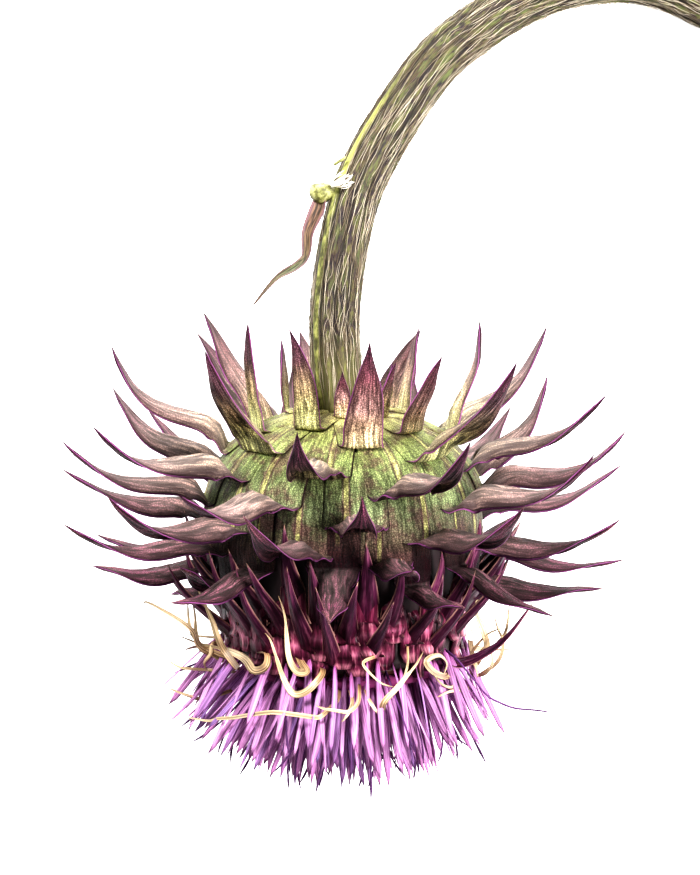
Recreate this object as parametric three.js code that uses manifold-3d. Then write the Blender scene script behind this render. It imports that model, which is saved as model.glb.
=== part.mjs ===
// A nodding-thistle flower head, picked with its arched stem and laid on its side.
//
// Millimetres, +Z up, the supporting surface at z = 0. The head's own axis is level and runs
// along Y: the stem leaves towards +Y and the florets point to -Y. The head's centre, where the
// green cup is widest, lies HEAD_HEIGHT above the surface.
//
// The pieces are the stem with its ribs, a small leaf on a bud half way up it, the involucre (the
// cup with its overlapping scales and spine-tipped bracts), the disc of dry inner bracts and the
// brush of purple florets.
import * as THREE from 'three';
import { mergeVertices } from 'three/addons/utils/BufferGeometryUtils.js';
import Module from 'manifold-3d';

const wasm = await Module();
wasm.setup();

// ---------------------------------------------------------------- driving dimensions, in mm

const HEAD_HEIGHT = 31.0; // centre of the head above the surface: the longest bracts bend under it
const HEAD_X = -7.8; // where the head's centre lies in the part's frame
const HEAD_Y = -17.0;

const CUP_RADIUS = 16.4; // the cup where it is widest
const CUP_RISE = 13.4; // from there to the neck, along the axis
const CUP_FULLNESS = 2.6; // how square the shoulder is: 2 is an ellipse
const MOUTH_RADIUS = 13.8;
const MOUTH_DEPTH = 15.6; // from the widest place to the mouth
const NECK_RADIUS = 3.2; // the flat spot that the stem meets

const STEM_RADIUS = 2.9;
const RIB_COUNT = 10;
const RIB_HEIGHT = 0.28;
const STEM_STEPS = 28; // of the stem's faceted length
const SEAT_GAP = 0.3; // between pieces that touch

const LITTLE_BRACTS = 5; // the outermost, round the neck, numbered first
const BRACTS = 63; // broad bracts with the little ones, numbered from the neck
const FIRST_BRACT = 5.0; // along the cup from the pole to the first folds
const BRACT_SPAN = 28.0; // from there to the last broad bract
const SPIKES = 48; // narrow inner bracts, numbered on from the broad ones
const SPIKE_SPAN = 6.2;
const GOLDEN_ANGLE = 137.508; // degrees from each bract to the next
const FIRST_ANGLE = 0.2; // of bract 0, from the side that faces up
const SCALE_LENGTH = 5.0; // of a bract's flat base, which lies on the cup
const FOLD_LIFT = 1.3; // how far a bract stands off the cup where its blade turns out
const SPIKE_ROOT = -0.3; // a narrow bract starts this far below the cup's surface
const THINNEST = 0.62; // of any blade
const PRESSED_HEIGHT = 0.12; // a bract that the head presses down runs this far above the surface

const DRY_BRACTS = 18;
const DRY_BRACT_LENGTH = 13.0;
const DRY_BRACT_WIDTH = 1.24;
const DISC_THICKNESS = 1.0;
const FLORET_BED_RADIUS = 13.0; // of the disc and of the dome that the florets stand on
const FLORETS = 116;
const FLORET_LENGTH = 12.4;
const FLORET_CROWN = 2.8; // height of the dome that the florets stand on

const UP = new THREE.Vector3(0, 1, 0); // the head's axis, towards the stem
const RADIANS = Math.PI / 180;

// ---------------------------------------------------------------- small helpers

// A repeatable random number from 0 to 1 for item n, one for each salt.
function draw(n, salt) {
  const spread = Math.sin(n * 12.9898 + salt * 78.233) * 43758.5453;
  return spread - Math.floor(spread);
}

// The same, from -1 to 1.
const sway = (n, salt) => 2 * draw(n, salt) - 1;

// A value read from a short list of [place, value] pairs, joined by straight lines.
function along(pairs, place) {
  const next = pairs.findIndex(([x]) => x >= place);
  if (next === 0) return pairs[0][1];
  if (next < 0) return pairs.at(-1)[1];
  const [[x0, y0], [x1, y1]] = [pairs[next - 1], pairs[next]];
  return y0 + ((y1 - y0) * (place - x0)) / (x1 - x0);
}

function solidOf(geometry, mergeWithin = 1e-4) {
  const bare = new THREE.BufferGeometry();
  bare.setAttribute('position', geometry.getAttribute('position'));
  bare.setIndex(geometry.getIndex());
  const merged = mergeVertices(bare, mergeWithin);
  return new wasm.Manifold(
    new wasm.Mesh({
      numProp: 3,
      vertProperties: merged.attributes.position.array,
      triVerts: new Uint32Array(merged.index.array),
    }),
  );
}

function geometryOf(solid) {
  const mesh = solid.getMesh();
  const geometry = new THREE.BufferGeometry();
  geometry.setAttribute('position', new THREE.BufferAttribute(mesh.vertProperties, 3));
  geometry.setIndex(new THREE.BufferAttribute(mesh.triVerts, 1));
  geometry.computeVertexNormals();
  return geometry;
}

// Geometries fused into one closed body. Scraps that touch nothing are dropped, and so are the
// small hollows that are left shut in between crossing blades, once near points are merged.
function fused(geometries) {
  const whole = wasm.Manifold.union(geometries.map((geometry) => solidOf(geometry)));
  const bodies = solidOf(geometryOf(whole), 2e-3).decompose();
  return bodies.reduce((a, b) => (a.volume() > b.volume() ? a : b));
}

// ---------------------------------------------------------------- a blade, lofted along a path

// A blade from its stations, {point, across, lift, half, thick, channel}: at each the section is
// a diamond, half wide to either side and thick deep, with its edges raised by the channel.
// across x path = lift. The last station is the tip, a single point. Both faces are split alike.
function bladeGeometry(stations) {
  const positions = [];
  for (const { point, across, lift, half, thick, channel } of stations.slice(0, -1)) {
    const edge = point.clone().addScaledVector(lift, channel);
    const corners = [
      edge.clone().addScaledVector(across, -half),
      point.clone().addScaledVector(lift, thick / 2),
      edge.clone().addScaledVector(across, half),
      point.clone().addScaledVector(lift, -thick / 2),
    ];
    corners.forEach((corner) => positions.push(...corner.toArray()));
  }
  positions.push(...stations.at(-1).point.toArray());

  const faces = [0, 3, 2, 0, 2, 1]; // the root's cap
  const sections = stations.length - 1;
  for (let i = 0; i < sections - 1; i++) {
    const [left, top, right, bottom] = [0, 1, 2, 3].map((k) => 4 * i + k);
    const [left2, top2, right2, bottom2] = [4, 5, 6, 7].map((k) => 4 * i + k);
    faces.push(left, top, top2, left, top2, left2);
    faces.push(right, top2, top, right, right2, top2);
    faces.push(left, bottom2, bottom, left, left2, bottom2);
    faces.push(right, bottom, bottom2, right, bottom2, right2);
  }
  const tip = 4 * sections;
  for (let k = 0; k < 4; k++) faces.push(tip - 4 + k, tip - 4 + ((k + 1) % 4), tip);

  const geometry = new THREE.BufferGeometry();
  geometry.setAttribute('position', new THREE.Float32BufferAttribute(positions, 3));
  geometry.setIndex(faces);
  return geometry;
}

// across and lift for a path that runs along forward, turned by twist about it.
function frameAround(forward, upper, twist) {
  const across = new THREE.Vector3().crossVectors(forward, upper).normalize();
  const lift = new THREE.Vector3().crossVectors(across, forward);
  const turned = across.clone().multiplyScalar(Math.cos(twist)).addScaledVector(lift, Math.sin(twist));
  return { across: turned, lift: lift.crossVectors(turned, forward).normalize() };
}

// ---------------------------------------------------------------- the cup

const NECK_TURN = Math.asin(NECK_RADIUS / CUP_RADIUS);
const WAIST = 9.5; // how quickly the cup draws in below its widest place

// A point of the cup's outline, [radius, distance along the axis], with turn from the neck: the
// shoulder runs to a quarter turn, and from there turn - 90 degrees counts down to the mouth.
function outline(turn) {
  if (turn <= Math.PI / 2) {
    return [CUP_RADIUS * Math.sin(turn), CUP_RISE * Math.cos(turn) ** (2 / CUP_FULLNESS)];
  }
  const depth = (MOUTH_DEPTH * (turn - Math.PI / 2)) / (Math.PI / 2);
  const radius = MOUTH_RADIUS + (CUP_RADIUS - MOUTH_RADIUS) * Math.exp(-((depth / WAIST) ** 2));
  return [radius, -depth];
}

// The outline again with the distance run from the pole, in even small steps of turn.
const cupTrack = [];
for (let i = 0, run = 0; i <= 400; i++) {
  const [radius, height] = outline((i / 400) * Math.PI);
  if (i > 0) run += Math.hypot(radius - cupTrack[i - 1].radius, height - cupTrack[i - 1].height);
  cupTrack.push({ run, radius, height });
}

// The cup's surface at a distance from the pole: radius, height and the normal's tilt above level.
function cupAt(run) {
  const next = Math.max(1, cupTrack.findIndex((place) => place.run >= run));
  const [a, b] = [cupTrack[next - 1], cupTrack[next]];
  const share = (run - a.run) / (b.run - a.run);
  return {
    radius: a.radius + (b.radius - a.radius) * share,
    height: a.height + (b.height - a.height) * share,
    tilt: Math.atan2(b.radius - a.radius, a.height - b.height),
  };
}

// The unit vectors away from the axis and round it, at an angle from the side that faces up.
const outward = (angle) => new THREE.Vector3(Math.sin(angle), 0, Math.cos(angle));
const sideways = (angle) => new THREE.Vector3(Math.cos(angle), 0, -Math.sin(angle));

// The direction that climbs from outward towards the stem, and then turns aside.
function heading(angle, climb, aside) {
  const level = outward(angle).multiplyScalar(Math.cos(climb)).addScaledVector(UP, Math.sin(climb));
  return level.multiplyScalar(Math.cos(aside)).addScaledVector(sideways(angle), Math.sin(aside));
}

// A point above the cup's surface by lift, in the head's frame.
function onCup(run, angle, lift) {
  const { radius, height, tilt } = cupAt(run);
  return outward(angle)
    .multiplyScalar(radius + lift * Math.cos(tilt))
    .addScaledVector(UP, height + lift * Math.sin(tilt));
}

function cupGeometry() {
  const sides = 28;
  const steps = 8;
  const profile = [new THREE.Vector2(0, -MOUTH_DEPTH)];
  for (let i = steps; i >= 0; i--) {
    const turn = NECK_TURN + (Math.PI - NECK_TURN) * (i / steps);
    profile.push(new THREE.Vector2(...outline(turn)));
  }
  profile.push(new THREE.Vector2(0, profile.at(-1).y));
  return new THREE.LatheGeometry(profile, sides);
}

// ---------------------------------------------------------------- bracts

// What each broad bract measures, by its share of the way from the neck to the last one.
const BLADE_LENGTH = [[0, 5.4], [0.06, 12], [0.15, 13.8], [0.32, 20], [0.65, 20], [0.85, 16.5], [1, 11]];
const BLADE_WIDTH = [[0, 2.2], [0.06, 3.6], [0.15, 5.1], [0.24, 6.4], [0.36, 7.3], [0.6, 7.4], [1, 5.6]];
const BLADE_RISE = [[0, 85], [0.1, 82], [0.2, 60], [0.3, 42], [0.42, 27], [0.64, 10], [0.85, -3], [1, -20]];
const KNEE = [[0, 0], [0.12, 8], [0.25, 50], [0.6, 55], [0.85, 35], [1, 10]];
const SAG = [[0, 0], [0.12, 4], [0.25, 22], [0.6, 20], [1, 6]];
const HOOK = [[0, 2], [0.12, 8], [0.25, 34], [0.6, 34], [0.85, 22], [1, 4]];

// A blade's outline: its width at each share of its length, as a share of its full width.
const LANCE = [[0, 0.9], [0.12, 1], [0.35, 0.9], [0.55, 0.66], [0.7, 0.42], [0.82, 0.22], [1, 0]];
const AWL = [[0, 1], [0.2, 0.86], [0.5, 0.62], [0.8, 0.3], [1, 0]];

// The bracts that face up, and the three that the head rests on, each with its own turn round the
// cup, rise and lean, in degrees.
const OWN_SET = new Map([
  [0, { turn: -2, rise: 84, lean: 0 }],
  [5, { turn: 14, rise: 74, lean: 16 }],
  [8, { turn: -9, rise: 86, lean: -26 }],
  [10, { turn: -6, rise: 72, lean: 14 }],
  [13, { turn: -2, rise: 72, lean: 2 }],
  [15, { turn: 0, rise: 64, lean: -8 }],
  [16, { turn: -9, rise: 56, lean: -2 }],
  [18, { turn: 3, rise: 38, lean: 8 }],
  [21, { turn: -4, rise: 18, lean: 8 }],
  [26, { turn: 0, rise: 16, lean: 2 }],
  [29, { turn: -5, rise: 12, lean: -4 }],
  [34, { turn: 0, rise: 17, lean: -4 }],
  [37, { turn: -4, rise: 10, lean: -6 }],
  [42, { turn: -1, rise: 16, lean: -12 }],
  [43, { turn: 0, rise: 0, lean: 6, length: 21 }],
  [46, { turn: 2, rise: -8, lean: 10, length: 20.5 }],
  [47, { turn: 0, rise: 4, lean: -14 }],
  [51, { turn: -4, rise: -38, lean: 0, length: 23 }],
  [55, { turn: -1, rise: -9, lean: -10 }],
  [60, { turn: 0, rise: -4, lean: 4 }],
]);

// The measures of bract n, broad or narrow. Angles are in degrees.
function bractMeasures(n) {
  const own = OWN_SET.get(n) ?? {};
  const angle = (FIRST_ANGLE - n * GOLDEN_ANGLE + (own.turn ?? 0)) * RADIANS;
  if (n < BRACTS) {
    const share = Math.max(0, (n - LITTLE_BRACTS + 0.5) / (BRACTS - LITTLE_BRACTS));
    const run = FIRST_BRACT + BRACT_SPAN * share ** 0.72;
    return {
      angle,
      run,
      length: own.length ?? along(BLADE_LENGTH, share) * (1 + 0.08 * sway(n, 1)),
      width: along(BLADE_WIDTH, share) * (1 + 0.06 * sway(n, 2)),
      rise: own.rise ?? along(BLADE_RISE, share) + 5 * sway(n, 3),
      knee: along(KNEE, share) * (1 + 0.3 * sway(n, 4)),
      sag: along(SAG, share) * (1 + 0.3 * sway(n, 5)),
      hook: along(HOOK, share) * (1 + 0.4 * sway(n, 6)),
      lean: own.lean ?? 14 * sway(n, 7),
      twist: 18 * sway(n, 8),
      scale: Math.min(SCALE_LENGTH, run - NECK_RADIUS - 0.7),
      thick: 0.9,
      outline: LANCE,
      cuts: [0.12, 0.32, 0.56, 0.8],
    };
  }
  const share = (n - BRACTS + 0.5) / SPIKES;
  return {
    angle,
    run: FIRST_BRACT + BRACT_SPAN + SPIKE_SPAN * share,
    length: (11.4 + 2 * share) * (1 + 0.14 * sway(n, 1)),
    width: 3.4 - 1.4 * share ** 0.6,
    rise: 62 - 12 * share + 8 * sway(n, 3),
    knee: 0,
    sag: 8,
    hook: 14 * (1 + sway(n, 6)),
    lean: 12 * sway(n, 7),
    twist: 20 * sway(n, 8),
    scale: 0,
    thick: 1.1,
    outline: AWL,
    cuts: [0, 0.45],
  };
}

const STEPS = 24; // of a bract's path

// The middle line of a bract, from its fold to its tip, as {point, forward, upper}. It rises from
// its knee, sags and hooks up again, and where it meets the surface it bends along it. A narrow
// bract has no scale: its middle line starts in the cup.
function bractPath(measures) {
  const { angle, run, length, rise, knee, sag, hook, lean, scale } = measures;
  const kneeLength = 0.13; // shares of the blade's length
  const sagLength = 0.75;
  const sweep = 1.3; // how late the blade leans aside
  const floor = -HEAD_HEIGHT + PRESSED_HEIGHT;
  const step = length / STEPS;
  const point = onCup(run, angle, scale > 0 ? FOLD_LIFT : SPIKE_ROOT);
  const path = [];
  for (let i = 0; i <= STEPS; i++) {
    const t = i / STEPS;
    const raised = knee * Math.exp(-((t / kneeLength) ** 2)) + hook * t * t;
    const sunk = sag * Math.sin(Math.PI * Math.min(1, t / sagLength));
    const climb = (rise + raised - sunk) * RADIANS;
    const forward = heading(angle, climb, lean * t ** sweep * RADIANS);
    const upper = outward(angle).multiplyScalar(-Math.sin(climb)).addScaledVector(UP, Math.cos(climb));
    if (point.z + forward.z * step < floor) {
      forward.setZ(Math.max(-1, (floor - point.z) / step)).setY(forward.y + 0.35).normalize();
      upper.set(0, 0, 1);
    }
    path.push({ point: point.clone(), forward, upper });
    point.addScaledVector(forward, step);
  }
  return path;
}

// The stations of a bract that lie on the cup: the scale from its root, which is sunk in the cup,
// down to the fold, where the bract turns away from the cup. back is in shares of the scale.
function scaleStations(measures) {
  const { angle, run, width, scale } = measures;
  const rows = [
    { back: 1, lift: -0.4, share: 0.72, thick: 0.7, turn: -90 },
    { back: 0.42, lift: 0, share: 1, thick: 0.9, turn: -90 },
    { back: 0, lift: 0.35, share: 0.9, thick: 0.95, turn: -60 },
    { back: -0.09, lift: 1.0, share: 0.9, thick: 0.9, turn: 0 },
  ];
  return rows.map(({ back, lift, share, thick, turn }) => {
    const place = run - back * scale;
    const { radius, tilt } = cupAt(place);
    const half = (share * width) / 2;
    const lean = tilt + turn * RADIANS;
    const forward = heading(angle, lean, 0);
    const upper = outward(angle).multiplyScalar(-Math.sin(lean)).addScaledVector(UP, Math.cos(lean));
    const channel = back < 0 ? 0 : -(half ** 2) / (2 * radius) - 0.3; // the edges follow the cup
    const point = onCup(place, angle, lift);
    return { point, ...frameAround(forward, upper, 0), half, thick, channel };
  });
}

function bractGeometry(n) {
  const measures = bractMeasures(n);
  const { width, thick, twist, scale, outline: shape, cuts } = measures;
  const path = bractPath(measures);
  const stations = scale > 0 ? scaleStations(measures) : [];
  for (const t of cuts) {
    const { point, forward, upper } = path[Math.round(t * STEPS)];
    const half = Math.max((width / 2) * along(shape, t), THINNEST / 2);
    const turn = twist * RADIANS * Math.min(1, t / 0.5);
    stations.push({
      point,
      ...frameAround(forward, upper, turn),
      half,
      thick: Math.max(THINNEST, thick * (1 - 0.3 * t)),
      channel: 0.34 * half * Math.min(1, t / 0.25),
    });
  }
  stations.push({ point: path.at(-1).point });
  return bladeGeometry(stations);
}

function involucreGeometry() {
  const pieces = [cupGeometry()];
  for (let n = 0; n < BRACTS + SPIKES; n++) pieces.push(bractGeometry(n));
  return fused(pieces);
}

// ---------------------------------------------------------------- dry inner bracts

// The disc that the florets sit on, with the dry inner bracts that curl out from its rim.
function dryBractsGeometry() {
  const sides = 36;
  const cuts = 5;
  const rim = FLORET_BED_RADIUS;
  const middle = -MOUTH_DEPTH - SEAT_GAP - DISC_THICKNESS / 2;
  const pieces = [new THREE.CylinderGeometry(rim, rim, DISC_THICKNESS, sides).translate(0, middle, 0)];
  for (let n = 0; n < DRY_BRACTS; n++) {
    const angle = ((n + 0.3 * sway(n, 21)) / DRY_BRACTS) * 2 * Math.PI;
    const length = DRY_BRACT_LENGTH * (1 + 0.3 * sway(n, 22));
    const curl = 110 * sway(n, 23) * RADIANS;
    const rise = (8 + 22 * sway(n, 24)) * RADIANS;
    const point = outward(angle).multiplyScalar(rim - 1.2).setY(middle);
    const stations = [];
    for (let i = 0; i <= cuts; i++) {
      const t = i / cuts;
      const forward = heading(angle, rise * Math.sin(Math.PI * Math.min(1, 1.4 * t)), curl * t * t);
      const half = (DRY_BRACT_WIDTH / 2) * (1 - 0.5 * t);
      const frame = frameAround(forward, UP, 0);
      stations.push({ point: point.clone(), ...frame, half, thick: THINNEST, channel: 0 });
      point.addScaledVector(forward, length / cuts);
    }
    pieces.push(bladeGeometry(stations));
  }
  return fused(pieces);
}

// ---------------------------------------------------------------- florets

// The brush of florets: a low dome, with straps that splay further the nearer they are the rim.
function floretsGeometry() {
  const sides = 30;
  const rim = FLORET_BED_RADIUS;
  const shoulder = 0.8; // how much of the dome's height is its upright rim
  const top = -MOUTH_DEPTH - DISC_THICKNESS - 2 * SEAT_GAP;
  const domeAt = (share) => top - shoulder - (FLORET_CROWN - shoulder) * (1 - share ** 3);
  const profile = [new THREE.Vector2(0, domeAt(0))];
  for (const share of [0.45, 0.8, 1]) profile.push(new THREE.Vector2(rim * share, domeAt(share)));
  profile.push(new THREE.Vector2(rim, top), new THREE.Vector2(0, top));
  const pieces = [new THREE.LatheGeometry(profile, sides)];
  for (let n = 0; n < FLORETS; n++) pieces.push(floretGeometry(n, (rim - 0.9) / rim, domeAt));
  return fused(pieces);
}

// Floret n: a strap that is widest past its middle, twisted a little and drooping to its tip.
function floretGeometry(n, reach, domeAt) {
  const share = Math.sqrt((n + 0.5) / FLORETS);
  const angle = n * GOLDEN_ANGLE * RADIANS;
  const splay = 54 * share ** 2.7 + 4 * sway(n, 31);
  const length = FLORET_LENGTH * (1 + 0.12 * sway(n, 32));
  const forward = heading(angle, (splay - 90) * RADIANS, 0.08 * sway(n, 33));
  const droop = forward.clone().addScaledVector(UP, -0.15 * share).normalize();
  const turn = 40 * sway(n, 34) * RADIANS;
  const root = outward(angle).multiplyScalar(FLORET_BED_RADIUS * reach * share).setY(domeAt(share) + 0.3);
  const middle = root.clone().addScaledVector(forward, length * 0.55);
  const end = middle.clone().addScaledVector(droop, length * 0.45);
  const strap = (point, direction, half) => {
    const frame = frameAround(direction, sideways(angle).cross(direction), turn);
    return { point, ...frame, half, thick: THINNEST, channel: 0 };
  };
  return bladeGeometry([strap(root, forward, 0.5), strap(middle, droop, 0.78), { point: end }]);
}

// ---------------------------------------------------------------- stem, bud and leaf

// The stem's middle line in the head's frame: up from the neck, over in an arch, and down until
// its cut end rests on the surface.
const stemLine = new THREE.CatmullRomCurve3(
  [
    [-0.6, CUP_RISE + SEAT_GAP, 0],
    [-1.1, 21.6, -0.1],
    [-1.0, 27.0, -0.5],
    [0.0, 34.1, -1.6],
    [2.0, 41.1, -3.6],
    [5.9, 47.9, -6.9],
    [11.2, 54.8, -11.4],
    [16.5, 58.9, -14.9],
    [21.9, 61.9, -18.2],
    [27.6, 63.8, -21.2],
    [34.7, 64.5, -24.4],
    [40.3, 63.5, -26.4],
    [46.1, 60.9, -27.8],
    [49.6, 59.2, -28.2],
  ].map(([x, y, z]) => new THREE.Vector3(x, y, z)),
);

function stemGeometry() {
  const section = new THREE.Shape();
  const sides = 2 * RIB_COUNT;
  for (let i = 0; i < sides; i++) {
    const angle = (i / sides) * 2 * Math.PI;
    const radius = STEM_RADIUS + (i % 2 ? -RIB_HEIGHT / 2 : RIB_HEIGHT / 2);
    const corner = [radius * Math.cos(angle), radius * Math.sin(angle)];
    if (i === 0) section.moveTo(...corner);
    else section.lineTo(...corner);
  }
  const settings = { steps: STEM_STEPS, extrudePath: stemLine, bevelEnabled: false };
  return new THREE.ExtrudeGeometry(section, settings);
}

const BUD = new THREE.Vector3(-3.15, 40.0, -2.2); // where the leaf and its bud leave the stem

const BUD_RADIUS = 1.5;

function leafGeometry() {
  const bud = new THREE.SphereGeometry(BUD_RADIUS, 10, 7).scale(0.8, 1.1, 0.9).translate(...BUD.toArray());
  const line = new THREE.CatmullRomCurve3(
    [
      [0, -0.3, 0.1],
      [-0.2, -1.9, 0.3],
      [-1.5, -4.9, 0.6],
      [-1.8, -7.6, 0.9],
      [-3.0, -8.9, 1.1],
      [-5.5, -10.4, 1.4],
      [-8.5, -14.0, 1.6],
    ].map(([x, y, z]) => new THREE.Vector3(x, y, z).add(BUD)),
  );
  const widths = [[0, 0.5], [0.25, 0.85], [0.5, 0.5], [0.75, 0.6], [1, 0]];
  const cuts = 8;
  const stations = [];
  for (let i = 0; i <= cuts; i++) {
    const t = i / cuts;
    const half = along(widths, t);
    const frame = frameAround(line.getTangentAt(t), new THREE.Vector3(-0.5, 0.2, 1), 0.5 * t);
    stations.push({ point: line.getPointAt(t), ...frame, half, thick: THINNEST, channel: 0.3 * half });
  }
  return fused([bud, bladeGeometry(stations)]);
}

// ---------------------------------------------------------------- materials and scene

const material = (color, roughness) => new THREE.MeshStandardMaterial({ color, roughness, metalness: 0 });

const stemSkin = material('#7d7a52', 0.85);
const leafSkin = material('#8a7a52', 0.8);
const bractSkin = material('#6b4650', 0.75);
const dryBractSkin = material('#c9a772', 0.8);
const petalSkin = material('#a566b0', 0.7);

// Cuts off what would reach below the surface, which leaves the small flats that the head rests on.
function onSurface(solid) {
  const size = 400;
  const below = new THREE.BoxGeometry(size, size, size).translate(0, 0, -HEAD_HEIGHT - size / 2);
  return solid.subtract(solidOf(below));
}

function piece(name, solid, skin) {
  const mesh = new THREE.Mesh(geometryOf(onSurface(solid)), skin);
  mesh.name = name;
  return mesh;
}

const flower = new THREE.Group();
flower.position.set(HEAD_X, HEAD_Y, HEAD_HEIGHT);
flower.add(
  piece('stem', solidOf(stemGeometry()), stemSkin),
  piece('stem_leaf', leafGeometry(), leafSkin),
  piece('involucre', involucreGeometry(), bractSkin),
  piece('dry_bracts', dryBractsGeometry(), dryBractSkin),
  piece('florets', floretsGeometry(), petalSkin),
);

export default flower;
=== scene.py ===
# %% [markdown]
# # A nodding-thistle flower head, picked and laid on a white table
# The head hangs from an arched stem on the plant. Picked, it lies on its side: the head's own
# axis is level, the purple florets point away from the stem, and the camera looks down on it.
# The CAD frame has the plain solids. Each cell below grows one piece again, finer, in the same
# place, and gives it the finish of the dried plant.

import math

import bmesh
import bpy
from mathutils import Matrix, Vector
from mathutils.geometry import interpolate_bezier


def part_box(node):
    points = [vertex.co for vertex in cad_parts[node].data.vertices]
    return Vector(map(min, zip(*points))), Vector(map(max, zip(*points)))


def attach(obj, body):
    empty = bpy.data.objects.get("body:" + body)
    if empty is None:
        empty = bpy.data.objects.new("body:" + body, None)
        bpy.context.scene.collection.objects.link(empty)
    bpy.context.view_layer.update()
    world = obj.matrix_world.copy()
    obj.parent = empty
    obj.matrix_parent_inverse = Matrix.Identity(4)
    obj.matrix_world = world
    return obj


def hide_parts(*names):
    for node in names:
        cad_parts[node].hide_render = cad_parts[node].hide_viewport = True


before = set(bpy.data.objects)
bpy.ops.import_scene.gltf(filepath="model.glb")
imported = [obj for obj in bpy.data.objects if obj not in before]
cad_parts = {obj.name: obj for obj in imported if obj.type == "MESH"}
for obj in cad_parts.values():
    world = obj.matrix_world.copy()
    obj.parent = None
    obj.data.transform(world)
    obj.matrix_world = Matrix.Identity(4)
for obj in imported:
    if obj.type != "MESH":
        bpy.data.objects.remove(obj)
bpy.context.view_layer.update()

# %% [markdown]
# ## The dimensions that everything grows from
# The frame is in metres, and a flower head is easier to think of in millimetres, so the lengths
# below are in millimetres and in_place() turns a point of the head into a point of the frame.
# The head's axis runs along +Y towards the stem. Nearly all numbers are those of the CAD source,
# so a bract made here grows where its plain solid does, or about two millimetres beside it.

# %% Dimensions and directions
MM = 0.001
HEAD_X = -7.8  # the head's centre, where the cup is widest
HEAD_HEIGHT = 31.0
MOUTH_TO_FLORETS = 17.2  # from the centre to the plane where the florets start
HEAD_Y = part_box("florets")[1][1] / MM + MOUTH_TO_FLORETS
HEAD = Vector((HEAD_X, HEAD_Y, HEAD_HEIGHT))
UP = Vector((0, 1, 0))
GOLDEN_ANGLE = math.radians(137.508)


def outward(angle):
    """Away from the axis, at an angle from the side that faces the camera."""
    return Vector((math.sin(angle), 0, math.cos(angle)))


def sideways(angle):
    """Square to outward, across a bract that grows at this angle."""
    return Vector((math.cos(angle), 0, -math.sin(angle)))


def heading(angle, climb, aside=0.0):
    """A direction that climbs from outward towards the stem, and then turns aside."""
    level = outward(angle) * math.cos(climb) + UP * math.sin(climb)
    return level * math.cos(aside) + sideways(angle) * math.sin(aside)


def in_place(point):
    """A point of the head in mm as a point of the frame in metres."""
    return (HEAD + point) * MM


print("head centre in mm:", [round(x, 2) for x in HEAD])

# %% [markdown]
# ## Chance that repeats
# No two bracts of a real head are alike. Each one varies by a number that is worked out from its
# own number and a salt, so the same plant grows on every run, here and in the CAD source.


# %% Repeatable chance and tables
def draw(n, salt):
    """A number from 0 to 1 for item n, one for each salt."""
    spread = math.sin(n * 12.9898 + salt * 78.233) * 43758.5453
    return spread - math.floor(spread)


def sway(n, salt):
    """The same from -1 to 1."""
    return 2 * draw(n, salt) - 1


def along(pairs, place):
    """A value read from a short list of (place, value) pairs, joined by straight lines."""
    if place <= pairs[0][0]:
        return pairs[0][1]
    for (x0, y0), (x1, y1) in zip(pairs, pairs[1:]):
        if place <= x1:
            return y0 + (y1 - y0) * (place - x0) / (x1 - x0)
    return pairs[-1][1]


def eased(low, high, value):
    """0 below low, 1 above high, and an even curve between."""
    share = min(1.0, max(0.0, (value - low) / (high - low)))
    return share * share * (3 - 2 * share)


print("chance for bract 1:", round(draw(1, 1), 3))

# %% [markdown]
# ## One way to make every leaf, strap, ribbon and hair
# A bract, a floret and a hair are all long closed skins that end in points. A flat grid can be
# rolled into one: its columns go round the section and its rows run along the piece. Rolling
# gives full control of the section, so a blade can have thin edges and a thick middle, which a
# Solidify modifier on a flat sheet would not give. The two seams are then welded. While each
# vertex is placed, it is marked with where it lies, and the materials read these marks. In every
# section below, u runs across from edge to edge, s from the under to the upper side, and t along
# from root to tip.

# %% Rolled skins
MARKS = ("age", "along", "across", "side", "seed")
WELD = 1e-7  # metres within which two vertices are one


def marked_mesh():
    bm = bmesh.new()
    for name in MARKS:
        bm.verts.layers.float.new(name)
    return bm


scratch = bpy.data.meshes.new("scratch")


def roll(bm, around, rows, place):
    """Adds a closed skin. place(row, turn) gives a point of the head in mm, and its marks."""
    sheet = marked_mesh()
    bmesh.ops.create_grid(sheet, x_segments=around, y_segments=rows, size=0.5)
    layers = [sheet.verts.layers.float[name] for name in MARKS]
    for vertex in sheet.verts:
        row = round((vertex.co.y + 0.5) * rows)
        turn = round((vertex.co.x + 0.5) * around) / around * 2 * math.pi
        point, marks = place(row, turn)
        vertex.co = in_place(point)
        for layer, mark in zip(layers, marks):
            vertex[layer] = mark
    bmesh.ops.remove_doubles(sheet, verts=sheet.verts[:], dist=WELD)
    sheet.to_mesh(scratch)
    sheet.free()
    bm.from_mesh(scratch)


print("each vertex is marked with", ", ".join(MARKS))

# %% [markdown]
# Most of the small parts are strands: a hair, a style, a floret, a ribbon or the little leaf. They
# share one section, a ring that can be flattened and bent into a gutter, and differ in the line
# they follow and in how wide they are along it. What is round about the axis is spun instead.


# %% Strands and spun shapes
def strand(bm, around, rows, station, age, seed, gutter=None, power=1):
    """Adds a strand that ends in points. station(row, t) gives its middle, two directions across
    it, half its width and half its thickness. A gutter lifts its edges, and such a flat strand is
    also marked from edge to edge."""

    def place(row, turn):
        t = row / rows
        u, s = math.cos(turn), math.sin(turn)
        middle, across, lift, reach, thick = station(row, t)
        if row in (0, rows):
            reach = thick = 0
        height = thick * s + (gutter or 0) * reach * abs(u) ** power
        marks = (age, t, 0.0, 0.0, seed) if gutter is None else (age, t, u, s, seed)
        return middle + across * u * reach + lift * height, marks

    roll(bm, around, rows, place)


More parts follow.
